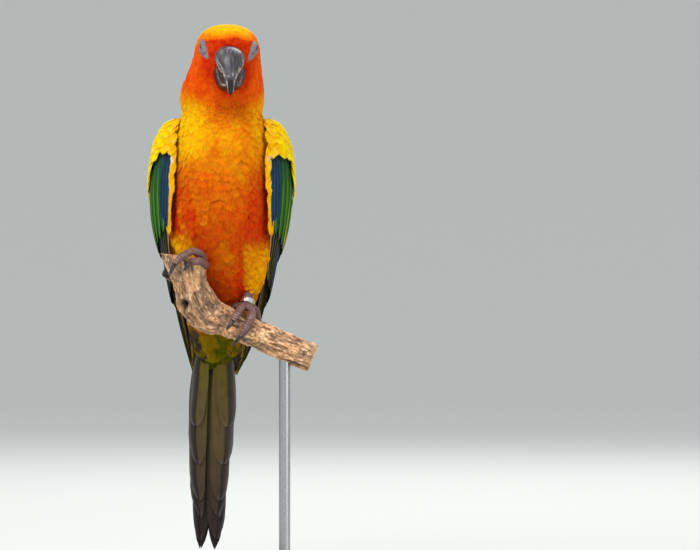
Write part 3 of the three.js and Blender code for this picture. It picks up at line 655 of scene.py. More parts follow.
def feather_length(p):
    """Shortest round the bill and eyes, longest on the belly."""
    z = p[:, 2]
    on_face = np.interp(from_bill(p), [9, 15, 24, 36, 50], [1.7, 2.3, 3.3, 4.8, 6.4])
    on_body = np.interp(z, [106, 128, 145, 180, 215, 236], [12, 11, 9, 8.6, 8, 6.6])
    length = mix(on_body, on_face, step(z, 234, 250))
    thigh = (np.abs(p[:, 0]) > 9.5) & (z < 184) & (z > 146) & (p[:, 1] < 4)
    return np.where(thigh, np.minimum(length, np.interp(z, [146, 156, 184], [3.2, 4.4, 6.5])), length)


def lie(p, n):
    """The way the feathers point: away from the bill, and down the body from the nape and throat."""
    down = np.array([0, 0.12, -1.0])
    share = np.maximum(step(from_bill(p), 16, 44), fade(p[:, 2], 246, 258))[:, None]
    return along_skin(unit(p - BILL_ROOT) * (1 - share) + down * share * 1.1, n)


def along_skin(way, n):
    return unit(way - n * (way * n).sum(-1, keepdims=True))


def tree_of(places):
    tree = KDTree(len(places))
    for i, place in enumerate(places):
        tree.insert(place, i)
    tree.balance()
    return tree


def nearest_of(places, p):
    """Which of the places lies nearest to each point."""
    tree = tree_of(places)
    return np.array([tree.find(q)[1] for q in p])


def spaced(places, reach):
    """Each kept place clears its neighbourhood, so the feathers stand as evenly as in a real tract."""
    tree = tree_of(places)
    dropped = np.zeros(len(places), bool)
    kept = []
    for i, place in enumerate(places):
        if not dropped[i]:
            kept.append(i)
            for _, j, _ in tree.find_range(place, reach[i]):
                dropped[j] = True
    return np.array(kept)


corners = skin_places[tri_verts]
areas = np.linalg.norm(np.cross(corners[:, 1] - corners[:, 0], corners[:, 2] - corners[:, 0]), axis=1)
density = areas / feather_length(corners.mean(1)) ** 2
chosen = rng.choice(len(corners), ROOTS_TRIED, p=density / density.sum())
weights = rng.dirichlet((1, 1, 1), ROOTS_TRIED)[..., None]
roots = (corners[chosen] * weights).sum(1)
root_normals = unit((skin_normals[tri_verts[chosen]] * weights).sum(1))
root_uv = (unwrap[tri_loops[chosen]] * weights).sum(1)
kept = spaced(roots, ROOT_SPACING * feather_length(roots))

# The shut eye on the head: its height, how far round it is, and how its opening leans back
EYE_Z = 282
EYE_BEARING = math.radians(49)
EYE_SLANT = math.radians(43)
BARE_RIM = (7.8, 2.75)
BARE_SEAT = (6.9, 11.2)
BARE_SHANK = 4.4


def eye_place(side):
    """The middle of the bare rim, its shift off the ball, the way it looks, its long and its wide way."""
    half, front = head(EYE_Z)[:2]
    x, ahead = side * half * math.sin(EYE_BEARING), front * math.cos(EYE_BEARING)
    out = head_way(x / half**2, ahead / front**2, 0.006)
    level = unit(np.cross([0, 0, 1], out) * side)
    long = unit(np.cross(out, level)) * side * math.cos(EYE_SLANT) + level * math.sin(EYE_SLANT)
    shift = level * 0.9 - long * (0.7 if side < 0 else 1.8)
    return on_head(x, ahead, EYE_Z) + shift, shift, out, long, np.cross(long, out)


def rim_taper(high):
    """The rim is drop-shaped: broad above and narrow towards the bill."""
    return (1 + 0.2 * high) * (1 - 0.36 * step(-high, 0.1, 1.1))


def bare(p):
    """Where no feather roots: the eye rims, the bill's seat and the shanks."""
    x, ahead = in_head(p)
    hit = ((x / BARE_SEAT[0]) ** 2 + ((p[:, 2] - 271.5) / BARE_SEAT[1]) ** 2 < 1) & (ahead > 8)
    for side in (1, -1):
        at, _, out, long, wide = eye_place(side)
        high = ((p - at) @ long + 0.5) / BARE_RIM[0]
        across = (p - at) @ wide / BARE_RIM[1] / rim_taper(high)
        hit |= (high**2 + across**2 < 1) & (np.abs((p - at) @ out) < 6)
        hit |= np.linalg.norm(p - thighs[side][-1][:3], axis=1) < BARE_SHANK
    return hit


def under_wing(p, n):
    """Whether a root lies on an arm's outer side or is covered by it; the arm's inner side is feathered."""
    for side, arm in zip((1, -1), arm_trees):
        near = arm.find_nearest(Vector(p * mm), 1.6 * mm)[0] is not None
        inner = p[1] > 12 and 196 < p[2] < 240 and n[0] * side < -0.15
        covered = arm.ray_cast(Vector((p + n * 0.5) * mm), Vector(n), 0.02)[0] is not None
        if (near and not inner) or (covered and -12 < p[1] < 16):
            return True
    return False


kept = kept[~bare(roots[kept])]
kept = kept[[p[2] > NECK_Z or not under_wing(p, n) for p, n in zip(roots[kept], root_normals[kept])]]


def on_skin(p):
    """The nearest place on the skin to each point, and the way off the skin there."""
    found = [skin_tree.find_nearest(Vector(q))[:2] for q in p]
    return np.array([f[0] for f in found]), np.array([f[1] for f in found])


def guides(at, normal, length, sway):
    """Three places along the skin under each feather, from root to tip, and the way off it at each."""
    way = lie(at, normal)
    way = unit(way + np.cross(normal, way) * sway[:, None])
    middle, middle_normal = on_skin(at + way * length[:, None] / 2)
    end, end_normal = on_skin(middle + along_skin(way, middle_normal) * length[:, None] / 2)
    return np.stack([at, middle, end], 1), np.stack([normal, middle_normal, end_normal], 1)


def mesh_of(name, points, quads, tris=()):
    """A mesh from arrays, for the thousands of like barbs that lie side by side."""
    mesh = bpy.data.meshes.new(name)
    sizes = np.concatenate([np.full(len(quads), 4), np.full(len(tris), 3)]).astype(np.int32)
    loops = np.concatenate([np.ravel(quads), np.ravel(tris)]).astype(np.int32)
    mesh.vertices.add(len(points))
    mesh.vertices.foreach_set("co", (points * mm).astype(np.float32).ravel())
    mesh.loops.add(len(loops))
    mesh.loops.foreach_set("vertex_index", loops)
    mesh.polygons.add(len(sizes))
    mesh.polygons.foreach_set("loop_start", np.concatenate([[0], np.cumsum(sizes)[:-1]]).astype(np.int32))
    mesh.polygons.foreach_set("use_smooth", np.ones(len(sizes), bool))
    mesh.update(calc_edges=True)
    mesh.validate()
    mesh.set_sharp_from_angle(angle=math.radians(60))
    return mesh


def add_map(mesh, name, uv):
    layer = mesh.uv_layers.new(name=name)
    index = read(mesh.loops, "vertex_index", 1, np.int32)[:, 0]
    layer.data.foreach_set("uv", uv.reshape(-1, 2)[index].astype(np.float32).ravel())


PATCH = 0.0014  # half the width of a feather's own patch on the unwrap


def plumes(name, guide, normal, half, lift, barbs, stations, colour, edge, uv, rng):
    """Feathers as fans of barbs, each barb a closed blade with a ridge along its back."""
    number = len(guide)
    each = (number, barbs)
    half, lift = half[:, None, None], lift[:, None, None]
    k = np.linspace(-1, 1, barbs)
    s = np.array(stations)
    reach = 1 - 0.3 * k**2 + rng.normal(0, 0.035, each)
    t = reach[..., None] * s
    weights = np.stack([2 * (t - 0.5) * (t - 1), -4 * t * (t - 1), 2 * t * (t - 0.5)], -1)
    slopes = np.stack([4 * t - 3, 4 - 8 * t, 4 * t - 1], -1)
    centre = np.einsum("fksg,fgx->fksx", weights, guide)
    over = unit(np.einsum("fksg,fgx->fksx", np.clip(weights, 0, 1), normal))
    across = unit(np.cross(over, unit(np.einsum("fksg,fgx->fksx", slopes, guide))))
    k = (k + rng.normal(0, 0.25 / barbs, each))[..., None]
    off = half * k * (0.25 + 0.75 * np.sin(np.minimum(t / 0.62, 1) * math.pi / 2))
    rise = lift * (0.25 + 0.75 * (1 - (1 - np.clip(t, 0, 1)) ** 1.8))
    rise = rise - 0.1 * lift * k**2 * np.minimum(t * 2, 1)
    rise = rise + rng.normal(0, 0.03, (*each, 1)) * lift * t
    breadth = (half / barbs * np.interp(s, [0, 0.25, 0.7, 0.9, 1], [0.9, 1.7, 1.7, 1.1, 0.15]))[..., None]
    middle = centre + across * off[..., None] + over * rise[..., None]
    ridge = middle + over * (breadth * 0.22 + 0.02)
    points = np.stack([middle - across * breadth, ridge, middle + across * breadth], 3)
    last = (len(s) - 1) * 3
    foot = np.arange(number * barbs) * len(s) * 3
    a = foot[:, None] + np.arange(0, last, 3)[None, :]
    sides = [np.stack([a + i, a + j, a + j + 3, a + i + 3], -1) for i, j in ((0, 1), (1, 2), (2, 0))]
    quads = np.concatenate([side.reshape(-1, 4) for side in sides])[:, ::-1]
    tris = np.concatenate([foot[:, None] + [0, 1, 2], foot[:, None] + last + [0, 2, 1]])
    mesh = mesh_of(name, points.reshape(-1, 3), quads, tris)
    share = np.clip(t, 0, 1)[..., None]
    # Each feather is painted darker towards its root, painted shade where the feathers above cover it; its
    # brightness also differs a little at random from feather to feather.
    shade = mix(0.88, 1.0, step(share, 0.2, 0.75)) * (1 + rng.normal(0, 0.03, (*each, 1, 1)))
    tone = colour[:, None, None] * shade
    tone = tone + (edge[:, None, None] - tone) * step(share, 0.72, 1.0) * 0.45
    tone = np.broadcast_to(tone[:, :, :, None], points.shape)
    add_colours(mesh, "plumage", np.clip(tone.reshape(-1, 3), 0, 1))
    patch = np.stack([np.broadcast_to(k * PATCH, t.shape), t * 2 * PATCH - PATCH], -1)
    add_map(mesh, "OFBake", np.repeat(uv[:, None, None] + patch, 3, axis=2))
    return mesh


at, normal, uv = roots[kept], root_normals[kept], root_uv[kept]
number, x, y, z = len(kept), *at.T
length = feather_length(roots)[kept] * rng.normal(1, 0.07, number)
guide, guide_normals = guides(at, normal, length, rng.normal(0, 0.1, number))
coat_colour = markings(at + normal * coat_depth(at)[:, None])
hue = rng.normal(0, 1, (number, 3)) * [0.05, 0.09, 0.0]
coat_colour = np.clip(coat_colour * (1 + hue), 0, 1)
coat_edge = np.clip(coat_colour * [1.1, 1.3, 1.0] + [0.02, 0.008, 0], 0, 1)
lift = coat_depth(at) * rng.normal(1.0, 0.1, number) * (1 - 0.3 * bell(z - 240, 14))
lift = lift * (1 - 0.3 * step(z, 286, 294))

plume_look = material(
    "soft plumage", Roughness=0.75, Specular_IOR_Level=0.04,
    Subsurface_Weight=0.4, Subsurface_Radius=(0.6, 0.6, 0.6), Subsurface_Scale=mm,
)
start = Socket(plume_look.node_tree)
plumage = start.painted("plumage")
mottle = start.noise(3.2, detail=2)
lighter = start.node("ShaderNodeHueSaturation", Color=plumage, Hue=0.512, Saturation=1.0, Value=1.3)
wire(
    plume_look,
    Base_Color=(mottle.rise(0.35, 0.7) * 0.5).tint(plumage, lighter),
    Normal=start.noise(0.35, detail=1).bump(0.35, 0.12),
)

# Each tract's place, its barbs to a feather, and the stations along a barb
on_face = (z > NECK_Z) & (from_bill(at) < 25)
on_top = (z > NECK_Z) & ~on_face
behind = (np.degrees(np.arctan2(np.abs(x - lean(z)), -(y + 8))) > 90) & (z <= NECK_Z)
before = ~behind & (z <= NECK_Z)
SHORT_BARB = [0, 0.35, 0.75, 1]
LONG_BARB = [0, 0.3, 0.6, 0.85, 1]
tracts = {
    "coat_face": (on_face, 3, SHORT_BARB, "yellow"),
    "coat_crown": (on_top & (z > CROWN_Z), 5, SHORT_BARB, "yellow"),
    "coat_neck": (on_top & (z <= CROWN_Z), 7, SHORT_BARB, "yellow"),
    "coat_breast": (before & (z > BREAST_Z), 11, LONG_BARB, "orange"),
    "coat_belly": (before & (z <= BREAST_Z), 11, LONG_BARB, "orange"),
    "coat_mantle": (behind & (z > MANTLE_Z), 9, LONG_BARB, "yellow"),
    "coat_rump": (behind & (z <= MANTLE_Z), 9, LONG_BARB, "yellow"),
}
for name, (where, barbs, stations, slot) in tracts.items():
    half = length[where] * np.interp(length[where], [2, 8], [0.34, 0.33])
    mesh = plumes(
        name, guide[where], guide_normals[where], half, lift[where], barbs, stations,
        coat_colour[where], coat_edge[where], uv[where], rng,
    )
    coat = piece(name, mesh, plume_look)


# Wings
# Each folded wing is tiers of stiff vanes on the arm: navy flight feathers below, then green and blue
# coverts, and yellow ones over the shoulder. The rear feathers lie over the front ones.
FLIGHT_OUTLINE = smooth([
    [0, 0.3], [0.15, 0.8], [0.35, 1], [0.8, 0.98], [0.92, 0.78], [0.98, 0.42], [1, 0.12],
])
COVERT_OUTLINE = smooth([[0, 0.6], [0.25, 0.9], [0.6, 1], [0.84, 0.86], [0.95, 0.55], [1, 0.14]])
ALONG_VANE = np.array([0, 0.12, 0.26, 0.4, 0.53, 0.65, 0.75, 0.83, 0.89, 0.935, 0.965, 0.985, 1])
ACROSS_VANE = np.array([-1, -0.88, -0.66, -0.42, -0.24, -0.12, 0, 0.2, 0.45, 0.7, 0.9, 1])
SHAFT = list(ACROSS_VANE).index(0)
BARB_PITCH = 0.42


def vane_mesh(name, top, under, colours, reach):
    """Closed vanes from their upper and under faces: top[feather][station][place across]."""
    number, n, m = top.shape[:3]
    cell = np.arange(n * m).reshape(n, m)
    upper = np.stack([cell[:-1, :-1], cell[:-1, 1:], cell[1:, 1:], cell[1:, :-1]], -1).reshape(-1, 4)
    rim = np.concatenate([cell[0, :-1], cell[:-1, -1], cell[-1, :0:-1], cell[:0:-1, 0]])
    onward = np.roll(rim, -1)
    side = np.stack([onward, rim, rim + n * m, onward + n * m], -1)
    one = np.concatenate([upper, upper[:, ::-1] + n * m, side])
    start = (np.arange(number) * 2 * n * m)[:, None, None]
    mesh = mesh_of(name, np.stack([top, under], 1).reshape(-1, 3), (one[None] + start).reshape(-1, 4))
    add_colours(mesh, "plumage", np.clip(colours, 0, 1).reshape(-1, 3))
    add_map(mesh, "vane", np.stack([reach, reach], 1))
    columns = math.ceil(math.sqrt(number * 2))
    which = np.arange(number * 2).reshape(number, 2, 1, 1)
    u = (which % columns + 0.5 + 0.4 * ACROSS_VANE) / columns
    v = (which // columns + 0.1 + 0.8 * np.linspace(0, 1, n)[:, None]) / columns
    add_map(mesh, "OFBake", np.stack(np.broadcast_arrays(u, v), -1))
    return mesh


# The colours of a vane, by its rank in its tier, the place across it from the front edge, -1, to the
# rear edge, 1, the place along it, and a toss that differs from feather to feather
def blue_covert(rank, a, t, toss):
    return lay(
        blend("0f3068", "182e48", rank), ("24564a", 0.7 * step(-a, 0.5, 0.95)),
        ("0a1020", 0.6 * fade(np.abs(a), 0.0, 0.16)),
    )


def green_covert(rank, a, t, toss):
    return lay(
        blend("1f4a40", "265c08", step(rank, 0.0, 0.14)),
        ("1f3c44", fade(t, 0.1, 0.5) * fade(rank, 0.1, 0.4) * 0.5),
        ("4c8c0c", 0.7 * step(-a, 0.15, 0.8) * step(t, 0.15, 0.6)),
        ("0c2204", 0.55 * step(a, 0.45, 1)),
        ("c8ae00", step(-a, 0.66, 0.95) * step(t, 0.5, 0.8) * step(toss, 0.55, 0.85)),
        ("c0a000", step(t, 0.8, 0.9) * step(toss, 0.72, 0.82) * 0.9),
        ("0a1e04", 0.6 * fade(np.abs(a), 0.0, 0.13)),
    )


def secondary(rank, a, t, toss):
    return lay(
        blend("111a36", "101c38", toss),
        ("1f4a0a", 0.85 * step(-a, 0.1, 0.7) * step(rank, 0.1, 0.5)),
        ("7c7c08", 0.7 * step(-a, 0.8, 1) * step(rank, 0.2, 0.6)),
        ("06070f", 0.7 * fade(np.abs(a), 0.0, 0.13)),
    )


def primary(rank, a, t, toss):
    return lay(
        blend("12172c", "0d0e14", step(t, 0.45, 0.9)),
        ("5c6408", 0.8 * step(-a, 0.72, 0.96) * step(t, 0.2, 0.5)),
        ("b88c64", step(-a, 0.66, 0.84) * fade(rank, 0.05, 0.3) * step(t, 0.1, 0.3)),
        ("040508", 0.7 * fade(np.abs(a), 0.0, 0.13)),
    )


# From the deepest tier to the topmost: how many feathers; the first and the last one's root and tip, each
# as height, place across the wing and lift, with its breadth; then outline, colour, and how tips spread
wing_tiers = [
    (10, [196, 0.17, -8], [108, 0.26, -4, 7.4], [190, 0.6, -3.8], [128, 0.66, -1.7, 7.8],
     FLIGHT_OUTLINE, primary, 1.3),
    (10, [200, 0.26, -3.2], [152, 0.3, -0.9, 8], [200, 0.9, -3], [139, 0.88, -0.8, 7.4],
     FLIGHT_OUTLINE, secondary, 1),
    (4, [214, 0.06, -3], [160, 0.13, -1.5, 5.6], [210, 0.2, -3], [154, 0.26, -1.2, 6.4],
     FLIGHT_OUTLINE, primary, 1),
    (12, [235, 0.15, -3], [186, 0.09, -0.1, 5], [217, 0.94, -3], [162, 0.84, 0.1, 7.2],
     COVERT_OUTLINE, green_covert, 0.8),
    (3, [232, 0.045, -3], [189, 0.035, 0, 3], [232, 0.115, -3], [194, 0.085, 0.2, 3.2],
     COVERT_OUTLINE, blue_covert, 1),
]


def wing_span(side, z, v):
    """How many millimetres of wing a whole step of v is worth."""
    return np.linalg.norm(wing_across(side, z, v), axis=-1) / (2 * SMALL_STEP)


def wing_vanes(side, rng):
    t, a = ALONG_VANE[:, None], ACROSS_VANE
    made = []
    for count, root_a, tip_a, root_b, tip_b, outline, colour, spread in wing_tiers:
        rank = np.linspace(0, 1, count)[:, None]
        root = mix(np.array(root_a), np.array(root_b), rank)
        tip = mix(np.array(tip_a), np.array(tip_b), rank)
        tip[:, 0] = mix(tip_a[0], tip_b[0], rank[:, 0] ** spread) + rng.normal(0, 0.7, count)
        half = (tip[:, 3] / 2 * rng.normal(1, 0.04, count))[:, None, None]
        z, v = (mix(root[:, i, None, None], tip[:, i, None, None], t) for i in (0, 1))
        pitch = np.linalg.norm(np.diff(wing_flat(side, *tip[:, :2].T), axis=0), axis=-1).mean()
        tilt = min(0.3, 0.6 / pitch)
        frayed = 1 + rng.normal(0, 0.03, (count, len(t), 1)) * (np.abs(a) > 0.8)
        off = half * outline(ALONG_VANE)[:, None] * a * frayed
        rise = np.where(t < 1, 1 - (1 - t) ** 2.2, 1)
        lift = mix(root[:, 2, None, None], tip[:, 2, None, None], rise) - tilt * off
        lift = lift - 0.05 * np.abs(off) ** 1.5 + 0.1 * bell(off, 0.35)
        v = v + off / wing_span(side, z, v)
        place, over = wing_flat(side, z, v), wing_over(side, z, v)
        thick = mix(0.22, 0.1, t) * (1 - 0.5 * np.abs(a))
        toss = rng.uniform(0, 1, (count, 1, 1))
        tone = colour(*np.broadcast_arrays(rank[..., None], a, t, toss))
        tone = tone * rng.normal(1, 0.06, (count, 1, 1, 1))
        long = np.linalg.norm(np.diff(place[:, :, SHAFT], axis=1), axis=-1).sum(1)
        made.append((
            place + over * (lift + thick)[..., None], place + over * (lift - thick)[..., None],
            # The under faces take the upper colour darkened to about half: painted shade.
            np.stack([tone, tone * 0.55 + 0.02], 1),
            np.stack(np.broadcast_arrays(off, t * long[:, None, None]), -1),
        ))
    parts = [np.concatenate(part) for part in zip(*made)]
    return parts if side > 0 else [part[..., ::-1, :] for part in parts]


def feather_look(name, shine, **sockets):
    """Barbs slant out from the shaft as fine ridges, about two to a millimetre."""
    look = material(name, Roughness=shine, **sockets)
    start = Socket(look.node_tree)
    vane = start.node("ShaderNodeUVMap", {"uv_map": "vane"})
    off, along = (start.node("ShaderNodeSeparateXYZ", Vector=vane, output=i) for i in (0, 1))
    barb = start.math("SINE", (along - start.math("ABSOLUTE", off) * 1.1) * (2 * math.pi / BARB_PITCH))
    worn = start.noise(2.5, detail=4, squash=(1, 1, 0.3))
    dark = barb.rise(0.2, 1) * 0.25 + worn.rise(0.45, 0.75) * 0.25
    wire(
        look,
        Base_Color=dark.tint(start.painted("plumage"), (0.012, 0.012, 0.01)),
        Roughness=worn * 0.3 + (shine - 0.12),
        Normal=(barb * 0.5 + worn).bump(0.5, 0.1),
    )
    return look


SIDES = ((1, "left"), (-1, "right"))
vane_look = feather_look("wing feathers", 0.55, Specular_IOR_Level=0.1)
for side, name in SIDES:
    mesh = vane_mesh(f"wing_feathers_{name}", *wing_vanes(side, np.random.default_rng(11 + side)))
    vanes = piece(f"wing_feathers_{name}", mesh, vane_look, f"wing_{name}")


# Shoulder coverts
# Small soft yellow feathers lie over the arm in rows down to a jagged edge above the blue and green
# ones, and down the wing's front edge as a narrow border. They root in the arm's skin.
BORDER_TOP_Z = 232
BORDER_REAR, ROWS_FRONT = 0.09, 0.12  # up to that height no feather roots between these places across
BORDER_SPACING, ROW_SPACING = 0.13, 0.27  # as shares of a feather's length
COVERT_SUNK = 1.5
TICK_Z = 221.5  # pale feather ends stand out at this height of the border
COVERTS_TRIED = 9000


def shoulder(side, rng):
    z = rng.uniform(192, 247, COVERTS_TRIED)
    v = rng.uniform(0.02, 0.98, COVERTS_TRIED)
    ends = np.interp(v, [0, 0.09, 0.11, 0.28, 0.35, 0.42, 0.6, 1], [186, 188, 225, 226, 214, 206, 203, 202])
    ends = ends + rng.normal(0, 1.6, COVERTS_TRIED)
    border = (v < ROWS_FRONT) & (z < BORDER_TOP_Z)
    length = np.where(border, 8.6, np.interp(z, [196, 226, 240, 247], [7.4, 8.4, 6.6, 5]))
    stays = (z - length * 0.94 > ends) & ((v > ROWS_FRONT) | (v < BORDER_REAR) | (z > BORDER_TOP_Z))
    z, v, length, border = z[stays], v[stays], length[stays], border[stays]
    v = np.where(border, 0.022 - 0.03 * step(z, 196, 222) + 0.25 * (v - 0.055), v)
    kept = spaced(wing_flat(side, z, v), np.where(border, BORDER_SPACING, ROW_SPACING) * length)
    z, v, border = z[kept], v[kept], border[kept]
    number, each = len(kept), (len(kept), 1)
    length = length[kept] * rng.normal(1, 0.05, number)
    slant = np.where(v < ROWS_FRONT, -0.06, 0.32) + rng.normal(0, 0.06, number)
    share = np.array([0, 0.5, 1])
    down = z[:, None] - (length * np.cos(slant))[:, None] * share
    rear = v[:, None] + (length * np.sin(slant) / wing_span(side, z, v))[:, None] * share
    rear = np.clip(rear, -0.04, 0.99)
    guide = wing_at(side, down, rear, -COVERT_SUNK)
    half = length * np.where(border, 0.12, 0.36)
    lift = rng.normal(1.9, 0.12, number) * np.where(border, 0.85, 1)
    colour = mix(paint("f6c000"), paint("ffd400"), rng.uniform(0, 1, each))
    colour = lay(colour, ("f09400", fade(v, 0.05, 0.16) * 0.6))
    tick = border & (np.abs(z - length - TICK_Z) < 0.7)
    colour = np.where(tick[:, None], paint("ecc890"), colour)
    # Some feathers get near-white ends, partly their own pale tips and partly a painted highlight along
    # their edges.
    edge = lay(colour, ("fff28c", rng.uniform(0.2, 1, number) ** 3))
    uv = vertex_uv[nearest_of(skin_places, guide[:, 0])]
    return guide, wing_over(side, down, rear), half, lift, 9, LONG_BARB, colour, edge, uv, rng


vertex_uv = np.zeros((len(skin_places), 2))
vertex_uv[tri_verts.ravel()] = unwrap[tri_loops.ravel()]
for side, name in SIDES:
    mesh = plumes(f"coat_wing_{name}", *shoulder(side, np.random.default_rng(21 + side)))
    coat = piece(f"coat_wing_{name}", mesh, plume_look)

# Tail
# Twelve long stepped feathers, the middle pair topmost at the back, worn to rags at the tips. The
# bird's left half lies under its right half, so the narrow outer feathers show in steps from below.
TAIL_TOP_Z = 128
TAIL_ROOT = np.array([-4.6, 15.5, 136])
TAIL_TIP = np.array([-9.7, 44, 15])
TAIL_WAY = unit(TAIL_TIP - TAIL_ROOT)
TAIL_ACROSS = unit(np.array([1, 0, 0]) - TAIL_WAY * TAIL_WAY[0])
TAIL_OVER = np.cross(TAIL_ACROSS, TAIL_WAY)
TAIL_DIVIDE = -2.4  # the outer feathers of both halves stop at this place across
TAIL_HALF_THICK = 0.13
SHAFT_OFF = 0.25  # a tail feather's shaft stands this share of its half breadth out from its middle

# Tip height, sideways place at the tip, and breadth, from the middle pair out
tail_pairs = [
    [15, 3.9, 9.2], [20, 4.3, 10.4], [33, 4.7, 9.6], [42, 5.5, 10.4], [62, 6.7, 11.2], [83, 8.6, 10],
]


def tail_vane(side, pair, tip_z, tip_off, breadth, rng):
    t, a = ALONG_VANE[:, None], ACROSS_VANE[None, :]
    central = pair < 3
    over = 3 - pair * 1.4 - (0.7 if side > 0 else 0) if pair < 2 else 1.6 - pair * 0.9
    worn = 1 + rng.normal(0, 0.02, t.shape) * np.abs(a)
    if central:
        worn = worn - 0.35 * step(t, 0.9, 1) * rng.uniform(0, 1, (len(t), 1)) * (np.abs(a) > 0.5)
    half = breadth / 2 * FLIGHT_OUTLINE(ALONG_VANE)[:, None]
    off = side * mix(1.4 + pair * 0.8, tip_off, t)
    if pair > 1:
        off = (np.maximum if side > 0 else np.minimum)(off, TAIL_DIVIDE + side * (half + 0.2))
    ragged = (rng.uniform(0, 1.6, a.shape) - 0.8) * step(t, 0.93, 1) * (1.6 if central else 0.5)
    z = mix(TAIL_TOP_Z, tip_z, t) - ragged
    lift = over - 0.06 * side * half * a - 0.35 * a**2
    middle = mix(TAIL_ROOT, TAIL_TIP, ((z - TAIL_ROOT[2]) / (TAIL_TIP[2] - TAIL_ROOT[2]))[..., None])
    middle = middle + TAIL_ACROSS * (off + half * a * worn)[..., None] + TAIL_OVER * lift[..., None]
    from_shaft = (a - SHAFT_OFF * side) * half
    ridge = 0.16 * bell(from_shaft, 0.4)
    outward = a * side - SHAFT_OFF
    shaft = bell(outward * half, 0.45)
    below = lay(
        paint("5f5030"), ("6e6200", 0.55 * step(z, 88, 122)), ("3e3438", 0.8 * fade(z, 30, 85)),
        ("3a3434", step(outward, -0.02, 0.1)), ("6c6664", 0.8 * step(outward, 0.35, 0.62)),
        ("6c6664", 0.5 * step(t, 0.955, 1)), ("1c1614", shaft * 0.85),
        ("2a2424", 0.6 * fade(z, 15, 45) * central),
    )
    above = lay(
        blend("55701c", "24406e", step(t, 0.35, 0.95)), ("8c8a18", 0.5 * step(np.abs(a), 0.7, 1)),
        ("10141c", shaft * 0.7),
    )
    reach = np.stack(np.broadcast_arrays(from_shaft, t * (TAIL_TOP_Z - tip_z)), -1)
    colours = np.stack([above, below * rng.normal(1, 0.05)])
    top = middle + TAIL_OVER * TAIL_HALF_THICK
    return top, middle - TAIL_OVER * (TAIL_HALF_THICK + ridge)[..., None], colours, reach


rng = np.random.default_rng(5)
tail_parts = []
for side in (-1, 1):
    for pair, (tip_z, tip_off, breadth) in enumerate(tail_pairs):
        narrowed = 0.86 if side < 0 and pair > 1 else 1
        tail_parts.append(tail_vane(side, pair, tip_z, tip_off, breadth * narrowed, rng))
tail_mesh = vane_mesh("tail_feathers", *(np.stack(part) for part in zip(*tail_parts)))
tail_look = feather_look("tail feathers", 0.6, Specular_IOR_Level=0.12)
tail = piece("tail_feathers", tail_mesh, tail_look, "tail")

# Bill
# A heavy hooked bill of dark horn over a short cupped lower one. It is ridged and worn, greyer and
# glossy along the top, with pale flakes by its cutting edges, and a narrow bare cere at its root.

# From root to tip: the ridge's reach ahead and height, the cutting edge's, and the half width
upper_bill = smooth([
    [0, 16, 281.6, 16, 271, 7.2], [1, 22.5, 282.2, 22.5, 270.8, 7.5], [2, 28, 281.6, 26.6, 269, 7.5],
    [3, 32.8, 278.2, 29.4, 266.8, 6.5], [4, 35.7, 273.2, 31.4, 264.8, 4.4], [5, 36.7, 268, 32.6, 262.6, 2.8],
    [6, 36.4, 263.2, 33.2, 260, 2.05], [7, 35.5, 259.8, 33.6, 258, 1.6], [8, 34.5, 257.2, 33.9, 256.6, 0.6],
])
# The lower bill by height: front, back and half width
lower_bill = smooth([
    [259.3, 26.5, 17, 2.6], [261, 29.6, 14, 5.6], [264, 30.9, 12.5, 7.3], [268, 30, 12, 8.1],
    [270.5, 28.8, 12, 7.9], [272, 27.4, 12.4, 7], [272.6, 26, 13, 6.2],
])
NOSTRIL = (3.3, 23.2, 281.6)


def upper_rows(low, high, stations, grow=0.0):
    t = np.linspace(low, high, stations)[:, None]
    ridge_a, ridge_z, edge_a, edge_z, half = np.moveaxis(upper_bill(t), -1, 0)
    up, wide = np.cos(around(120)), np.sin(around(120))
    wide = wide * np.where(up < 0, 1 - 0.12 * up**2, 1)
    tooth = 0.5 * bell(t - 4.3, 0.45) - 0.5 * bell(t - 5.4, 0.4)
    reach = np.hypot(ridge_a - edge_a, ridge_z - edge_z) / 2
    stretch = up * (reach + grow + np.where(up < 0, tooth * -up, 0)) / reach
    ahead = (ridge_a + edge_a) / 2 + (ridge_a - edge_a) / 2 * stretch
    z = (ridge_z + edge_z) / 2 + (ridge_z - edge_z) / 2 * stretch
    return on_head(wide * (half + grow), ahead, z)


def lower_rows(stations):
    z = mix(259.3, 272.5, np.linspace(0, 1, stations) ** 1.3)[:, None]
    turn = around(120)
    front, back, half = np.moveaxis(lower_bill(z), -1, 0)
    groove = 1 - 0.03 * np.cos(6 * turn) * step(z, 262, 268)
    ahead = (front + back) / 2 + (front - back) / 2 * np.cos(turn) * groove
    return on_head(half * np.sin(turn) * groove, ahead, z)


def raise_by(mesh, height):
    """Moves each place of a mesh off its surface."""
    move_to(mesh, places_of(mesh) + normals_of(mesh) * height[:, None])


def streaked(p, fineness, size, seed):
    """A cloud drawn out along the bill."""
    x, ahead = in_head(p)
    return cloud(np.stack([x * fineness, ahead * 0.3, p[:, 2] * 0.3], -1), size, seed)


def horn_relief(p):
    flakes = np.maximum(cloud(p * [1.4, 1.4, 0.8], 1.1, 8), 0) * fade(p[:, 2], 264, 270)
    return 0.07 * streaked(p, 1.6, 1.4, 4) + 0.09 * cloud(p, 2.6, 6) - 0.16 * flakes


def upper_colours(p, x, z, speckle, streaks):
    edge = np.abs(x) - np.interp(z, [258, 264, 267.3, 271.3, 274.6, 277], [1.2, 1.7, 2.9, 4.8, 6.6, 7.6])
    flake = step(edge, -1.0, 0.2) * step(speckle, -0.4, 0.3) * fade(z, 275, 278)
    flake = np.maximum(flake, bell(z - 267, 1.6) * step(speckle, 0.1, 0.5) * 0.9)
    return lay(
        blend("2e2a2e", "5e565c", step(0.5 * streaks + 0.8 * cloud(p, 4, 32), -0.6, 0.8)),
        ("b8aca8", flake * 0.8), ("0c0808", fade(z - 0.8 * speckle, 263, 267) * fade(edge, -0.3, 0.3)),
        ("8a8288", 0.5 * step(z, 277, 281) * step(streaks, 0, 0.6)),
    )


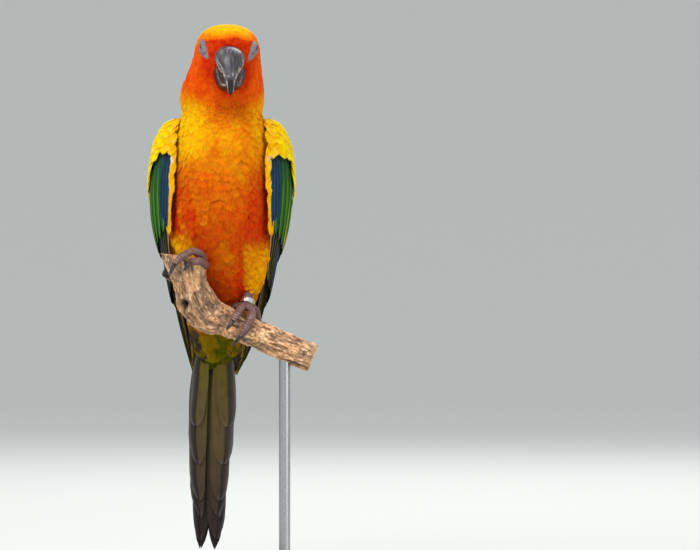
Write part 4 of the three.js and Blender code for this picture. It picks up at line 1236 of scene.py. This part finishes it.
def lower_colours(p, x, z, speckle, streaks):
    inside = z - (262 + 9 * (np.abs(x) / 7) ** 6)
    return lay(
        blend("1e100a", "34190e", 0.5 + 0.5 * cloud(p, 2, 33)),
        ("4e4446", step(inside, -0.2, 0.4) * step(speckle + 0.6 * streaks, -0.2, 0.5) * 0.8),
        ("bca898", bell(inside, 0.45) * step(cloud(p, 1.5, 34), -0.5, 0.2) * 0.9),
    )


horn_look = material(
    "dark horn", Roughness=0.4, Coat_Weight=0.15, Coat_Roughness=0.25, Specular_IOR_Level=0.35,
)
start = Socket(horn_look.node_tree)
streak = start.noise(1.1, detail=5, roughness=0.6, squash=(1, 0.35, 0.25))
flake = start.noise(0.8, detail=6, roughness=0.7)
dark = streak.rise(0.5, 0.75) * 0.15 + flake.rise(0.55, 0.7) * 0.25
wire(
    horn_look,
    Base_Color=dark.tint(start.painted("horn"), (0.02, 0.015, 0.017)),
    Roughness=flake.rise(0.3, 0.8) * 0.3 + 0.25,
    Normal=(streak * 0.6 + flake * 0.7).bump(0.55, 0.18),
)
for name, rows, colours in (
    ("upper", upper_rows(0.95, 8, 150), upper_colours), ("lower", lower_rows(80), lower_colours),
):
    mesh = mesh_from(f"bill_{name}_horn", shell(pinched(rows)))
    raise_by(mesh, horn_relief(places_of(mesh)))
    p = places_of(mesh)
    speckle = 0.7 * cloud(p, 0.9, 31) + 0.6 * cloud(p, 0.4, 35)
    add_colours(mesh, "horn", colours(p, in_head(p)[0], p[:, 2], speckle, streaked(p, 2.2, 1.2, 30)))
    horn = piece(f"bill_{name}_horn", mesh, horn_look, f"bill_{name}")

cere_mesh = mesh_from("cere_skin", shell(pinched(upper_rows(0, 1.25, 26, 0.35))))
p = places_of(cere_mesh)
dips = 0.22 * cloud(p, 1.6, 3)
for side in (-1, 1):
    hole = np.linalg.norm(p - on_head(side * NOSTRIL[0], *NOSTRIL[1:]), axis=1)
    dips = dips - 1.6 * bell(hole, 0.75) + 0.35 * bell(hole - 1.5, 0.6)
raise_by(cere_mesh, dips)
cere_look = finish(
    "cere skin", {"size": 0.5, "detail": 4}, (0.35, 0.65), (0.04, 0.03, 0.03), (0.16, 0.13, 0.13),
    bump=(0.6, 0.2), Roughness=0.65, Specular_IOR_Level=0.2,
)
cere = piece("cere_skin", cere_mesh, cere_look, "cere")

# Eyelids
# The eyes are shut. Each has a bare drop-shaped rim of fine grey wrinkled skin, narrow towards the bill,
# that swells over the ball, with its two lids almost met along a slit painted dark as shade.
head_tree = BVHTree.FromBMesh(shell(head_form))
LID_RIM = (8.5, 3.4)
LID_SLIT = (2.6, 0.2)
LID_SWELL = (3.9, 3.1, 1.5)  # the ball's half length and half width under the lids, and its height
LID_THICK = 0.3


def lid_rows(side):
    """Rows from the slit, 0, out to the rim, 1, laid on the head's form; and each point's place there."""
    at, shift, out, long, wide = eye_place(side)
    turn = around(120)
    r = np.linspace(0, 1, 52)[:, None] ** 1.25
    high = np.sin(turn)
    wide_slit = LID_SLIT[1] * np.cos(turn) * (1 - 0.6 * high**2) - 0.8 * side
    along = mix(LID_SLIT[0] * high + 1.5, LID_RIM[0] * high - 0.5, r)
    across = mix(wide_slit, LID_RIM[1] * rim_taper(high) * np.cos(turn), r)
    flat = at + long * along[..., None] + wide * across[..., None]
    ball = np.hypot((along + shift @ long) / LID_SWELL[0], (across + shift @ wide) / LID_SWELL[1])
    swell = LID_SWELL[2] * np.sqrt(np.clip(1 - ball**2, 0, 1))
    waves = np.sin(r * 27 + 1.3 * np.sin(3 * turn) + 0.8 * np.sin(7 * turn + 2))
    wrinkle = 0.06 * waves * step(r, 0.1, 0.3) * fade(r, 0.85, 0.95)
    lip = 0.28 * bell(r - 0.12, 0.05) - 1.1 * fade(r, 0, 0.08)
    edge = 0.3 * step(r, 0.7, 0.88) + 1.2 * step(r, 0.88, 1)
    height = swell + wrinkle + lip - edge + 0.1
    rows = np.empty_like(flat)
    for index in np.ndindex(flat.shape[:2]):
        hit = head_tree.ray_cast(Vector((flat[index] + out * 9) * mm), Vector(-out), 0.03)[0]
        rows[index] = (flat[index] if hit is None else np.array(hit) / mm) + out * height[index]
    return rows, np.broadcast_to(r, rows.shape[:2]).ravel()


lid_look = finish(
    "eyelid skin", {"size": 0.45, "detail": 5}, (0.4, 0.7), "rim", (0.16, 0.15, 0.18),
    share=0.45, bump=(0.5, 0.15), Roughness=0.55,
)
eye_look = finish(
    "wet eye", {"size": 0.8}, (0.3, 0.7), (0.012, 0.007, 0.005), (0.03, 0.016, 0.01),
    Roughness=0.06, Coat_Weight=1.0, Coat_Roughness=0.02,
)


def dress(node, look):
    """A carried CAD node keeps its shape and takes a finer finish."""
    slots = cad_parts[node].data.materials
    slots.clear()
    slots.append(look)


for side, name in SIDES:
    rows, r = lid_rows(side)
    mesh = mesh_from(f"lids_{name}", shell(rows))
    p = places_of(mesh)
    share = r[nearest_of(rows.reshape(-1, 3), p)]
    add_colours(mesh, "rim", lay(
        blend("66646e", "7e7474", step(share, 0.2, 0.6)), ("0a0808", fade(share, 0.05, 0.12)),
        # Near black along the slit: painted shade between the lids.
        ("8e8a90", 0.6 * bell(share - 0.15, 0.05)),
        ("4e4c54", 0.35 * step(cloud(p, 0.7, 42), 0.1, 0.6) * step(share, 0.15, 0.3)),
        ("7c4a40", 0.75 * step(share + 0.18 * cloud(p, 1.1, 41), 0.58, 0.9)),
    ))
    lids = piece(f"lids_{name}", mesh, lid_look, f"eyelids_{name}")
    wall = lids.modifiers.new("thickness", "SOLIDIFY")
    wall.thickness = LID_THICK * mm
    wall.offset = -1
    dress(f"eye_{name}", eye_look)

# Feet
# Scaly purplish skin over thin bones: two toes forward and two back, each wrapped round the branch, with
# broad scutes along the top of the toes, small grains at the sides, and dark curved claws.
legs = {
    "left": {
        "shank": [[14.6, -9.2, 157, 2.7], [13.8, -11, 152, 2.6], [13.2, -13.6, 148, 2.7]],
        "toes": [
            [[12.6, -13.6, 147], [8.6, -10.8, 146.8], [4.6, -7.4, 144.6], [3, -5.4, 140.5]],
            [[12.2, -15.4, 147], [10.8, -20.5, 146.4], [8.7, -25.6, 143.6], [6.1, -28.8, 139.3]],
            [[13.6, -15.6, 147.2], [16, -21.8, 142.8], [13.4, -27, 136], [10.5, -27, 131.7]],
            [[14.6, -13.4, 147], [17.6, -9.4, 144.2], [18.6, -6, 139.6], [18, -5.6, 135.4]],
        ],
        "claws": [
            [[2.4, -5, 137.6], [2, -6, 134.6]], [[4.5, -29.6, 137], [2.7, -29.4, 134.4]],
            [[8.2, -26.9, 129], [5.4, -25, 126.3]], [[17.4, -6.4, 132.4], [16.6, -8.4, 129.8]],
        ],
    },
    "right": {
        "shank": [[-14.8, -17, 176, 2.7], [-12.2, -20.6, 171.6, 2.6], [-9.4, -24.2, 168.8, 2.7]],
        "toes": [
            [[-9.4, -23.6, 168], [-11, -19.4, 164.4], [-14.4, -17.2, 160], [-17.4, -16.8, 156.4]],
            [[-9, -25.6, 168.2], [-8.2, -32.8, 168.6], [-10.6, -40, 170.6], [-15.6, -44.4, 169.9]],
            [[-9.4, -25, 169.2], [-9.4, -31.5, 172.6], [-14, -38.8, 175.6], [-19.4, -43.8, 173.2],
             [-23.4, -44.6, 169.2]],
            [[-10, -23, 167.4], [-17, -19.4, 165.4], [-25, -22, 162.6], [-28.2, -29.4, 162.6]],
        ],
        "claws": [
            [[-19.4, -17.6, 154], [-20.2, -19, 151.6]], [[-17.2, -44.6, 168], [-19.2, -43.4, 165.2]],
            [[-25, -44, 166.4], [-26.6, -41.6, 163.4]], [[-29.8, -32.4, 163.8], [-28.6, -35.6, 167.2]],
        ],
    },
}
TOE_RADII = smooth([[0, 2.4], [0.33, 2.15], [0.67, 2], [1, 1.7]])
SCUTE = 1.35  # the length of one scute
LINE_STATIONS = 60


def joints(along, turn):
    """Pads swell under each joint of a toe."""
    return 1 + 0.07 * np.cos(along * 2 * math.pi * 2.5)


def with_radii(path):
    return [[*p, TOE_RADII(share)] for p, share in zip(path, np.linspace(0, 1, len(path)))]


foot_look = finish(
    "scaly foot skin", {"size": 0.35, "detail": 4}, (0.4, 0.7), "scales", (0.07, 0.035, 0.035),
    share=0.35, bump=(0.6, 0.15), rough=(0.3, 0.3), Roughness=0.5,
)
claw_look = finish(
    "claw horn", {"size": 0.7, "detail": 4, "squash": (1, 1, 0.4)}, (0.35, 0.75),
    (0.008, 0.007, 0.008), (0.06, 0.05, 0.052), bump=(0.3, 0.1), Roughness=0.35, Coat_Weight=0.1,
)
for name, leg in legs.items():
    toes = [with_radii(toe) for toe in leg["toes"]]
    forms = [shell(limb(toe, 40, 20, joints)) for toe in toes] + [shell(limb(leg["shank"], 24, 20))]
    mesh = fused(f"foot_{name}_skin", forms, 0.34, 3)
    p = places_of(mesh)
    lines = [follow(path, LINE_STATIONS)[0] for path in toes + [leg["shank"]]]
    lengths = [np.linalg.norm(np.diff(line, axis=0), axis=1).sum() for line in lines]
    gone = np.concatenate([np.linspace(0, length, LINE_STATIONS) for length in lengths])
    centres = np.concatenate(lines)
    nearest = nearest_of(centres, p)
    out = unit(p - centres[nearest])
    topside = step(out[:, 2] - 0.35 * out[:, 1], -0.1, 0.6)
    plate = np.abs(np.sin(math.pi * (gone[nearest] + 0.25 * cloud(p, 2, 3)) / SCUTE))
    grains = cloud(p, 0.75, 5)
    raise_by(mesh, topside * (0.16 * plate**0.4 - 0.1) + (1 - topside) * 0.1 * grains)
    add_colours(mesh, "scales", lay(
        blend("583432", "845a50", 0.5 + 0.5 * cloud(p, 3.2, 9)),
        ("b59a92", 0.6 * topside * step(plate, 0.55, 1) * (0.5 + 0.5 * cloud(p, 1.1, 2))),
        # Dark between the scutes and in the pits among the grains: painted shade in the grooves of the
        # relief.
        ("33201f", topside * fade(plate, 0.1, 0.5) + (1 - topside) * step(-grains, 0.2, 0.7) * 0.7),
    ))
    foot = piece(f"foot_{name}_skin", mesh, foot_look, f"foot_{name}")
    for i, (toe, (bend, tip)) in enumerate(zip(leg["toes"], leg["claws"]), 1):
        root, bend, tip = np.array(toe[-1]), np.array(bend), np.array(tip)
        hook = mix(bend, tip, 0.5) + unit(bend - root) * 0.4
        path = [[*mix(root, bend, 0.1), 1.25], [*bend, 1.0], [*hook, 0.62], [*tip, 0.12]]
        mesh = mesh_from(f"talon_{name}_{i}", shell(limb(path, 30, 20)))
        talon = piece(f"talon_{name}_{i}", mesh, claw_look, f"claw_{name}_{i}")

# Perch
# A dry broken elbow of branch, its pale bark flaking over grey wood, with a knot hole on the elbow, a
# splintered break under the right foot, and a clean saw cut at its far end.
perch_path = [
    [-22, -36, 182, 11], [-19.2, -33, 172.3, 10.4], [-16.8, -30.5, 163.4, 8.8], [-15.3, -27.5, 155.5, 8.9],
    [-12.6, -24, 148.7, 9.9], [-6.3, -20, 142.4, 9.6], [1.6, -17.5, 139.2, 8.2], [17.4, -15.5, 132.4, 7.7],
    [33, -15.2, 125.8, 7.3], [48, -15, 119.5, 7],
]
BREAK_AT = np.array([-19.2, -33, 173.2])
BREAK_FACE = unit(np.array([0.16, -0.03, 0.95]))
KNOT_HOLE = np.array([-19.6, -33.5, 147.4])
CUT_END = np.array(perch_path[-1][:3])
CUT_FACE = unit(np.array([15, 0.2, -6.3]))
PERCH_STATIONS = 200
STATION_LONG = 0.55  # about how far apart the stations of the perch's middle line stand


def knots(along, turn):
    return 1 + 0.05 * np.sin(2 * turn + 9 * along) + 0.03 * np.sin(5 * turn - 14 * along)


trunk = shell(limb(perch_path, 120, 60, knots))
geometry = trunk.verts[:] + trunk.edges[:] + trunk.faces[:]
cut = bmesh.ops.bisect_plane(
    trunk, geom=geometry, plane_co=BREAK_AT * mm, plane_no=BREAK_FACE, clear_outer=True,
)
bmesh.ops.contextual_create(trunk, geom=[g for g in cut["geom_cut"] if isinstance(g, bmesh.types.BMEdge)])
splinter = shell(limb([[-20, -33, 163, 6], [-25, -34, 169.5, 4.4], [-29.6, -34.5, 173.6, 0.8]], 30, 24))
perch_mesh = fused("perch_wood", [trunk, splinter], 0.42, 2)
p = places_of(perch_mesh)
places, _, sides, ups = follow(perch_path, PERCH_STATIONS)
nearest = nearest_of(places, p)
along = nearest * STATION_LONG
out = p - places[nearest]
angle = np.arctan2((out * ups[nearest]).sum(1), (out * sides[nearest]).sum(1))


def drawn_out(fineness, girth):
    """The perch's places in a space where a cloud becomes streaks along the branch."""
    return np.stack([along * fineness, np.cos(angle) * girth, np.sin(angle) * girth], -1)


grain_space = drawn_out(0.28, 9)
broken = step((p - BREAK_AT) @ BREAK_FACE, -1.5, -0.3)
sawn = step((p - CUT_END) @ CUT_FACE, -0.8, -0.1)
furrows = cloud(grain_space, 1.3, 12)
shreds = cloud(grain_space * [1.4, 1, 1], 0.8, 13)
flaky = step(cloud(drawn_out(0.5, 8), 2.6, 14) + 0.35 * furrows, -0.05, 0.2)
relief = 0.4 * furrows + 0.6 * (flaky - 0.5) + 0.22 * shreds + 0.15 * cloud(p, 0.9, 15)
hole = np.linalg.norm((p - KNOT_HOLE) * [1, 0.6, 1.15], axis=1)
relief = relief + 0.9 * bell(hole - 4.3, 1.2) - 4.5 * bell(hole, 2.6)
relief = (relief - 0.3) * (1 - sawn) + broken * (0.7 * cloud(p, 1.4, 16) - 0.3)
raise_by(perch_mesh, relief)
specks = step(cloud(drawn_out(0.7, 7), 1.1, 23), 0.3, 0.62) * mix(0.2, 0.55, step(along, 34, 52))
tone = lay(
    blend("c8966a", "a0744e", 0.5 + 0.5 * cloud(grain_space, 2.4, 21)),
    ("6e5648", (1 - flaky) * (1 - broken) * 0.65),
    ("dcb892", 0.7 * step(shreds + 0.5 * furrows, 0.25, 0.8)),
    # Dark in the low furrows and shreds of the bark: painted shade in the grooves.
    ("3a2a20", 0.75 * step(-furrows - 0.5 * shreds, 0.3, 0.75) * (1 - sawn)),
    ("2a221e", specks * (1 - broken) * (1 - sawn)),
    # Near black inside the knot hole: painted shade in the hollow.
    ("150c08", np.exp(-((hole / 3.0) ** 4))),
)
tone = tone * mix(1.2, 1.6, step(along, 40, 70))[:, None]
rings = np.sin(np.linalg.norm(p - CUT_END, axis=1) * 5.5)
tone = mix(tone, lay(paint("d9b98c"), ("a8814f", 0.5 + 0.4 * rings)), sawn[:, None])
add_colours(perch_mesh, "bark", tone)
add_colours(perch_mesh, "grain", grain_space)
bark_look = material("dry bark", Roughness=0.85)
start = Socket(bark_look.node_tree)
bark = start.painted("bark")
grit = start.noise(0.8, detail=6, roughness=0.7)
grain = start.node("ShaderNodeAttribute", {"attribute_name": "grain"}, output="Vector")
crack = start.node("ShaderNodeTexNoise", Vector=grain, Scale=1.5, Detail=5.0, Roughness=0.6)
fibre = start.node("ShaderNodeTexNoise", Vector=grain, Scale=3.2, Detail=3.0, Roughness=0.5)
# The cracks are cut in by the bump and painted near black: painted shade in them.
split = crack.rise(0.53, 0.64)
pale = start.node("ShaderNodeHueSaturation", Color=bark, Value=1.35)
wire(
    bark_look,
    Base_Color=(split * 0.75 + grit.rise(0.52, 0.75) * 0.35).tint(
        fibre.rise(0.5, 0.7).tint(bark, pale), (0.05, 0.034, 0.026),
    ),
    Normal=(grit * 0.6 - split + fibre * 0.7).bump(0.7, 0.35),
)
perch = piece("perch_wood", perch_mesh, bark_look, "perch")

# Leg ring and stand
# A plain closed band of worn metal hangs on the left shank. A brushed steel rod stands in a turned
# base of dark stained wood and holds the perch.
ring_look = finish(
    "worn ring metal", {"size": 0.8, "detail": 5}, (0.3, 0.7), (0.5, 0.5, 0.5), (0.78, 0.78, 0.77),
    bump=(0.2, 0.05), rough=(0.3, 0.15), Metallic=1.0,
)
rod_look = finish(
    "brushed steel", {"size": 1.0, "detail": 4, "squash": (0.5, 0.5, 6)}, (0.3, 0.7),
    (0.36, 0.37, 0.38), (0.5, 0.51, 0.52), bump=(0.15, 0.05), rough=(0.2, 0.22), Metallic=1.0,
)
base_look = material("stained wood", Coat_Weight=0.25, Coat_Roughness=0.25)
start = Socket(base_look.node_tree)
grain = start.noise(5, detail=6, roughness=0.6, squash=(0.12, 1, 1))
pore = start.noise(0.9, detail=3, squash=(0.08, 1, 1))
stain = grain.rise(0.35, 0.7).tint((0.035, 0.02, 0.014), (0.1, 0.058, 0.036))
wire(
    base_look,
    Base_Color=(pore.rise(0.5, 0.7) * 0.5).tint(stain, (0.012, 0.007, 0.005)),
    Roughness=grain * 0.2 + 0.3,
    Normal=pore.bump(0.3, 0.1),
)
dress("leg_ring", ring_look)
dress("stand_rod", rod_look)
dress("stand_base", base_look)
